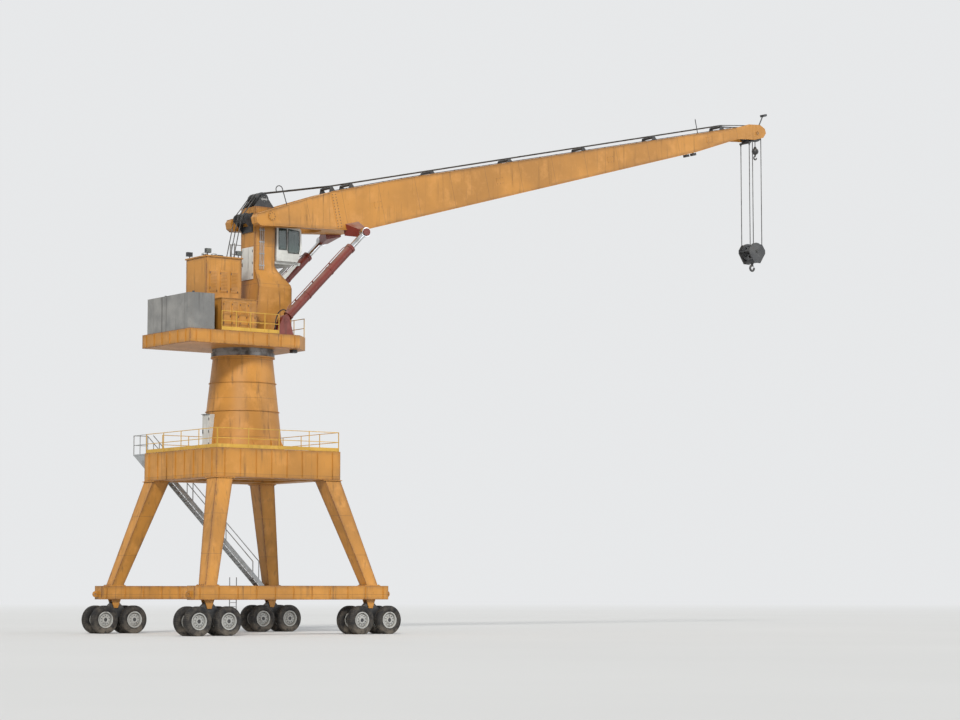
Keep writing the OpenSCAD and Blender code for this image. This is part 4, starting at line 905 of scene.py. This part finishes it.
def gland_bolts():
    """Twelve cap screws in a circle round the mouth of each barrel."""
    mouth, radius = 3.199, 0.118
    t = np.arange(12) * math.tau / 12
    parts = []
    for y in CYLINDERS.values():
        ring = on_barrel(mouth, radius * np.cos(t), y + radius * np.sin(t))
        parts.append(studs(ring, BARREL_WAY, 0.009, 0.012))
    mesh_piece("gland_bolts", *join(parts), "barrels", "dark_steel")


def cylinder_hoses():
    """A hose from the deck to the foot of each barrel, in a loop.

    Its path runs straight between knots beside the barrel's pin. Taking the mean of each point with
    its two neighbours rounds it.
    """
    x = np.array([-0.27, -0.285, -0.262, -0.19, -0.07, 0.03, 0.078])
    z = np.array([-0.414, -0.20, 0.02, 0.20, 0.30, 0.305, 0.262])
    knots = np.arange(len(x))
    at = np.linspace(0, knots[-1], 25)
    ahead, over = np.interp(at, knots, x), np.interp(at, knots, z)
    for side, y in CYLINDERS.items():
        path = BARREL_PIN + np.stack([ahead, np.full_like(at, y), over], 1)
        path[1:-1] = (path[:-2] + 2 * path[1:-1] + path[2:]) / 4
        piece = mesh_piece("cylinder_hose_" + side, *tube(path, 0.017), None, "tyre", smooth=True)
        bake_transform(piece)


def stiffeners():
    """Flat bars welded upright on the sills, the frame and the deck, at even steps along each wall."""
    flat, deep = 0.010, 0.022
    sill_x, sill_z = np.linspace(-2.95, 2.95, 11), (SILL_LOW + SILL_TOP) / 2
    along, frame_z = np.linspace(-1.75, 1.75, 8), (PORTAL_LOW + PORTAL_TOP) / 2
    face = FRAME_HALF + deep / 2
    parts = []
    for side in (1, -1):
        for out in (1, -1):
            y = side * (WHEEL_LINE + out * (SILL_HALF + deep / 2))
            parts.append(boxes(grid(sill_x, y, sill_z), (flat, deep, 0.34)))
        parts.append(boxes(grid(along, side * face, frame_z), (flat, deep, 0.74)))
        parts.append(boxes(grid(side * face, along, frame_z), (deep, flat, 0.74)))
    mesh_piece("portal_stiffeners", *join(parts), "portal", "yellow_paint")
    low, high = box_of("deck")
    x, y, z = np.linspace(-2.3, 0.9, 8), high[1] + deep / 2, (low[2] + high[2]) / 2
    parts = [boxes(grid(x, side * y, z), (flat, deep, 0.33)) for side in (1, -1)]
    parts.append(boxes(grid(low[0] - deep / 2, np.linspace(-1.1, 1.1, 6), z), (deep, flat, 0.33)))
    mesh_piece("deck_stiffeners", *join(parts), "upperworks", "yellow_paint")


def leg_flanges():
    """Bolted flange plates where the legs meet the sills and the frame."""
    thick, rim_reach = 0.022, 0.282
    foot_z, head_z = SILL_TOP + thick, PORTAL_LOW - thick
    foot_bolts = grid((-0.225, 0.225), np.linspace(-0.15, 0.15, 4), foot_z)
    rim, reach = np.linspace(-0.24, 0.24, 6), (-rim_reach, rim_reach)
    head_bolts = np.concatenate([grid(rim, reach, head_z), grid(reach, rim, head_z)])
    plates, bolts = [], []
    for corner in ((1, 1, 0), (1, -1, 0), (-1, 1, 0), (-1, -1, 0)):
        foot, head = WHEEL_LINE * np.array(corner), LEG_HEAD * np.array(corner)
        plates.append(boxes([foot + [0, 0, foot_z - thick / 2]], (0.50, 0.392, thick)))
        plates.append(boxes([head + [0, 0, head_z + thick / 2]], (0.60, 0.60, thick)))
        bolts.append(studs(foot + foot_bolts, (0, 0, 1), 0.014, 0.014))
        bolts.append(studs(head + head_bolts, (0, 0, -1), 0.010, 0.012))
    mesh_piece("leg_flanges", *join(plates), "portal", "yellow_paint")
    mesh_piece("leg_bolts", *join(bolts), "portal", "dark_steel")


def pedestal_hoops():
    """Two hoops round the pedestal's cone."""
    parts = []
    for rise in (1.14, 1.95):
        r = pedestal_radius(rise)
        profile = [(r - 0.01, -0.008), (r + 0.03, -0.008), (r + 0.028, 0.008), (r - 0.01, 0.008)]
        parts.append(turned(profile, (0, 0, PORTAL_TOP + rise)))
    mesh_piece("pedestal_hoops", *join(parts), "portal", "yellow_paint")


def roof_fittings():
    """Vents on the house, and flood lamps on the house and under the deck."""
    roof, deck_low = box_of("machine_house")[1][2], box_of("deck")[0][2]
    cap = [(0.001, 0), (0.055, 0), (0.055, 0.09), (0.10, 0.09), (0.085, 0.125), (0.03, 0.145), (0.001, 0.147)]
    vents = [turned(cap, (x, 0.0, roof), 32) for x in (-1.28, -0.98)]
    lamps, lenses = [], []
    for side in (1, -1):
        for x in (-1.48, -0.48):
            lamps.append(boxes([[x, side * 0.50, roof + 0.05]], (0.02, 0.02, 0.10)))
            lamps.append(boxes([[x, side * 0.52, roof + 0.13]], (0.17, 0.09, 0.12)))
            lenses.append(boxes([[x, side * 0.567, roof + 0.13]], (0.15, 0.008, 0.10)))
        lamps.append(boxes([[1.10, side * 0.95, deck_low - 0.045]], (0.16, 0.16, 0.09)))
        lenses.append(boxes([[1.10, side * 0.95, deck_low - 0.094]], (0.14, 0.14, 0.008)))
    mesh_piece("roof_vents", *join(vents), "upperworks", "grey_steel")
    mesh_piece("flood_lamps", *join(lamps), "upperworks", "dark_steel")
    mesh_piece("flood_lenses", *join(lenses), "upperworks", "tinted_glass")


def tower_conduits():
    """Three pipes up the tower's right face, on brackets; a quarter bend at each end leads into the wall."""
    x = PIVOT[0] - 0.10 + 0.06 * np.arange(3)
    y, low, high, bend = -TOWER_SIDE[1] - 0.018, PIVOT[2] - 1.46, PIVOT[2] - 0.30, 0.03
    t = np.radians([90, 72, 54, 36, 18, 0])
    ys = y + bend * (1 - np.cos(np.concatenate([t, t[::-1]])))
    zs = np.concatenate([low - bend * np.sin(t), high + bend * np.sin(t[::-1])])
    parts = [tube(np.stack([np.full_like(ys, k), ys, zs], 1), 0.012) for k in x]
    parts.append(boxes(grid(x[1], y + 0.008, np.linspace(low + 0.1, high - 0.05, 4)), (0.18, 0.022, 0.024)))
    mesh_piece("tower_conduits", *join(parts), "upperworks", "grey_steel")


def brace_pads():
    """A bolted pad round the foot of each of the cab's braces, on the tower's sloping front."""
    toe, chin = np.array([TOWER_FRONT[0], 0, TOE]), np.array([TOWER_FRONT[1], 0, CHIN])
    foot_z = PIVOT[2] - 1.74
    foot = chin + (toe - chin) * (CHIN - foot_z) / (CHIN - TOE)
    slope = (toe - chin) / np.linalg.norm(toe - chin)
    out = np.cross(slope, [0, 1.0, 0])
    turn = np.stack([slope, [0, 1.0, 0], out], 1)
    corners = [(along, across) for along in (-0.082, 0.082) for across in (-0.048, 0.048)]
    pads, bolts = [], []
    for y in (0.25, -0.25):
        middle = foot + [0, y, 0]
        pads.append(boxes([middle + 0.004 * out], (0.20, 0.13, 0.014), turn))
        spots = [middle + along * slope + [0, across, 0] + 0.010 * out for along, across in corners]
        bolts.append(studs(spots, out, 0.010, 0.010))
    mesh_piece("brace_pads", *join(pads), "upperworks", "white_paint")
    mesh_piece("brace_bolts", *join(bolts), "upperworks", "dark_steel")


def hook_latch():
    """The spring latch across the mouth of the main hook, from its shank to the tip."""
    centre = BLOCK_AXLE - np.array([0, 0, 0.548])
    path = centre + np.array([(0.030, 0, 0.115), (0.075, 0, 0.062), (0.088, 0, 0.005)])
    mesh_piece("hook_latch", *tube(path, 0.012, 8), "hook", "grey_steel")


def window_gaskets():
    """Rubber beads round the panes in the cab's sides and front."""
    low, bead = box_of("cab")[0], 0.009
    back, floor_z, wall = low[0] + 0.02, low[2], CAB_SIDE + 0.001
    rear_pane = [(0.07, 0.33), (0.33, 0.33), (0.33, 0.94), (0.07, 0.94)]
    side_pane = [(0.385, 0.25), (0.74, 0.25), (0.775, 0.40), (0.76, 0.90), (0.385, 0.94)]
    front_pane = [(0.022, 0.37), (0.307, 0.37), (0.307, 0.89), (0.022, 0.89)]
    lean = [back + 0.85 - 0.02 * (z - 0.33) / 0.60 for _, z in front_pane]
    parts = []
    for sign in (1, -1):
        for pane in (rear_pane, side_pane):
            parts.append(outline_tube([(back + x, sign * wall, floor_z + z) for x, z in pane], bead))
        corners = [(x, sign * y, floor_z + z) for x, (y, z) in zip(lean, front_pane)]
        parts.append(outline_tube(corners, bead))
    mesh_piece("window_gaskets", *join(parts), "upperworks", "tyre")


def pedestal_door_fittings():
    """Hinges, handle and a rain lip on the pedestal's door."""
    low, high = box_of("pedestal_door")
    x = low[0] - 0.006
    parts = [boxes(grid(x, -0.172, low[2] + np.array([0.14, 0.49, 0.84])), (0.016, 0.018, 0.075))]
    parts.append(boxes([[x - 0.006, 0.145, low[2] + 0.50]], (0.022, 0.018, 0.11)))
    parts.append(boxes([[low[0] - 0.012, 0, high[2] + 0.004]], (0.05, 0.42, 0.010)))
    mesh_piece("pedestal_door_fittings", *join(parts), "portal", "dark_steel")


def tread_nosings():
    """A painted edge on each step of the stair, which climbs as much as it runs."""
    rise = (PORTAL_TOP - SILL_TOP) * np.arange(1, STAIR_STEPS) / STAIR_STEPS
    centres = np.stack([STAIR_FOOT_X - rise, np.full_like(rise, WHEEL_LINE), SILL_TOP + rise], 1)
    nosings = boxes(centres - [0.006, 0, 0.006], (0.010, 0.326, 0.018))
    mesh_piece("tread_nosings", *nosings, "portal", "rail_paint")


def ballast_ties():
    """The bars that hold the slabs down, with their washers and nuts."""
    low, high = box_of("counterweight")
    x, top = (low[0] + high[0]) / 2, high[2]
    parts = []
    for y in (0.774, -0.774):
        parts.append(tube([[x, y, low[2]], [x, y, (low[2] + top) / 2], [x, y, top + 0.10]], 0.032, 16))
        parts.append(boxes([[x, y, top + 0.010]], (0.20, 0.20, 0.020)))
        parts.append(studs([x, y, top + 0.020], (0, 0, 1), 0.058, 0.045))
    mesh_piece("ballast_ties", *join(parts), "upperworks", "dark_steel")


def sheave_keepers():
    """Bolted keeper plates on the ends of the mast head's axle."""
    parts = []
    for side in (1, -1):
        ring = circle(MAST_AXLE + [0, side * 0.340, 0], 0.078, 6, 1)
        parts.append(studs(ring, (0, side, 0), 0.010, 0.010))
        parts.append(boxes([MAST_AXLE + [0, side * 0.343, 0]], (0.20, 0.006, 0.05)))
    mesh_piece("sheave_keepers", *join(parts), "upperworks", "grey_steel")


def weld_beads():
    """Fillet welds where the tower stands on the deck and the pedestal on its flange."""
    z, back, front, side = DECK_TOP + 0.004, TOWER_BACK[0], TOWER_FRONT[0], TOWER_SIDE[0]
    corners = [(back, -side, z), (front, -side, z), (front, side, z), (back, side, z)]
    mesh_piece("tower_weld", *outline_tube(corners, 0.012), "upperworks", "yellow_paint")
    flange = 0.036
    r = pedestal_radius(flange)
    profile = [(r - 0.004, flange), (r + 0.014, flange), (r - 0.002, flange + 0.018)]
    mesh_piece("pedestal_weld", *turned(profile, (0, 0, PORTAL_TOP)), "portal", "yellow_paint")


flange_bolts()
wheel_nuts()
louvres()
door_fittings()
toe_boards()
barrel_pipes()
luff_ropes()
falls()
cab_trim()
lamp_lens()
jib_flanges()
jib_seam_plates()
jib_conduit()
jib_flood_lamps()
pin_bolts()
gland_bolts()
cylinder_hoses()
stiffeners()
leg_flanges()
pedestal_hoops()
roof_fittings()
tower_conduits()
brace_pads()
hook_latch()
window_gaskets()
pedestal_door_fittings()
tread_nosings()
ballast_ties()
sheave_keepers()
weld_beads()


# Stage, light and camera

BACKDROP = (0.80, 0.81, 0.82)
LIT_SPOT = (5, 0, 8)
CAMERA_SPOT = (8.4, 0.0, 8.2)


def floor():
    """A level floor that fades into the backdrop far from the crane, so that no horizon shows."""
    mesh = bpy.data.meshes.new("floor")
    r = 400.0
    mesh.from_pydata([(-r, -r, 0), (r, -r, 0), (r, r, 0), (-r, r, 0)], [], [(0, 1, 2, 3)])
    s = Shade("floor_paint", Specular_IOR_Level=0.2)
    s.finish(s.mix(s.noise(0.08, 4.0), (0.62, 0.62, 0.61), (0.68, 0.68, 0.67)), 0.75)
    away = (s.x * s.x + s.y * s.y).math("SQRT").ramp(40.0, 190.0)
    seen = s.node("ShaderNodeLightPath", {}, {}, "Is Camera Ray")
    glow = s.node("ShaderNodeEmission", {}, {0: (*BACKDROP, 1.0), 1: 1.0})
    near = Wire(s, s.shader.outputs[0])
    both = s.node("ShaderNodeMixShader", {}, {0: away * seen, 1: near, 2: glow})
    s.feed(s.tree.nodes["Material Output"].inputs["Surface"], both)
    mesh.materials.append(s.material)
    ground = bpy.data.objects.new("floor", mesh)
    bpy.context.scene.collection.objects.link(ground)


def sky():
    """A soft even light; the camera, reflections and what shines through see the backdrop instead."""
    world = bpy.data.worlds.new("studio")
    bpy.context.scene.world = world
    world.use_nodes = True
    world.node_tree.nodes.clear()
    studio = Nodes(world.node_tree)
    light = studio.node("ShaderNodeBackground", {}, {0: (0.93, 0.96, 1.0, 1.0), 1: 0.60})
    seen = studio.node("ShaderNodeBackground", {}, {0: (*BACKDROP, 1.0), 1: 1.0})
    rays = studio.node("ShaderNodeLightPath", {}, {})
    straight, mirrored, through = rays.outputs("Is Camera Ray", "Is Glossy Ray", "Is Transmission Ray")
    share = straight.most(mirrored).most(through)
    both = studio.node("ShaderNodeMixShader", {}, {0: share, 1: light, 2: seen})
    studio.node("ShaderNodeOutputWorld", {}, {0: both})


def aimed(name, data, place, target):
    """A light or a camera in the scene, at a place and turned towards a target."""
    made = bpy.data.objects.new(name, data)
    bpy.context.scene.collection.objects.link(made)
    made.location = place
    made.rotation_euler = Vector(np.subtract(target, place)).to_track_quat("-Z", "Y").to_euler()
    return made


def sun(name, place, energy, angle, color):
    """A sun as wide as an angle in the sky, so that its shadows have soft edges."""
    data = bpy.data.lights.new(name, "SUN")
    data.energy = energy
    data.angle = angle
    data.color = color
    aimed(name, data, place, LIT_SPOT)


def camera():
    """The photograph's own viewpoint, worked out from its perspective, with a longer lens."""
    yaw, reach = math.radians(36.0), 3.60 * JIB_LENGTH
    across, drop = 0.0801 * reach, 0.14891 * reach
    ahead = np.array([math.sin(yaw), math.cos(yaw)])
    right = np.array([math.cos(yaw), -math.sin(yaw)])
    ground = PIVOT[:2] - reach * ahead + across * right
    data = bpy.data.cameras.new("camera")
    data.sensor_width = 36.0
    data.lens = 94.0
    data.clip_end = 2000.0
    bpy.context.scene.camera = aimed("camera", data, (*ground, PIVOT[2] - drop), CAMERA_SPOT)


floor()
sky()
sun("key", (-30, -40, 45), 2.6, math.radians(12), (1.0, 0.97, 0.92))
sun("fill", (40, -30, 20), 0.7, math.radians(40), (0.92, 0.96, 1.0))
camera()
bpy.context.scene.view_settings.view_transform = "Standard"
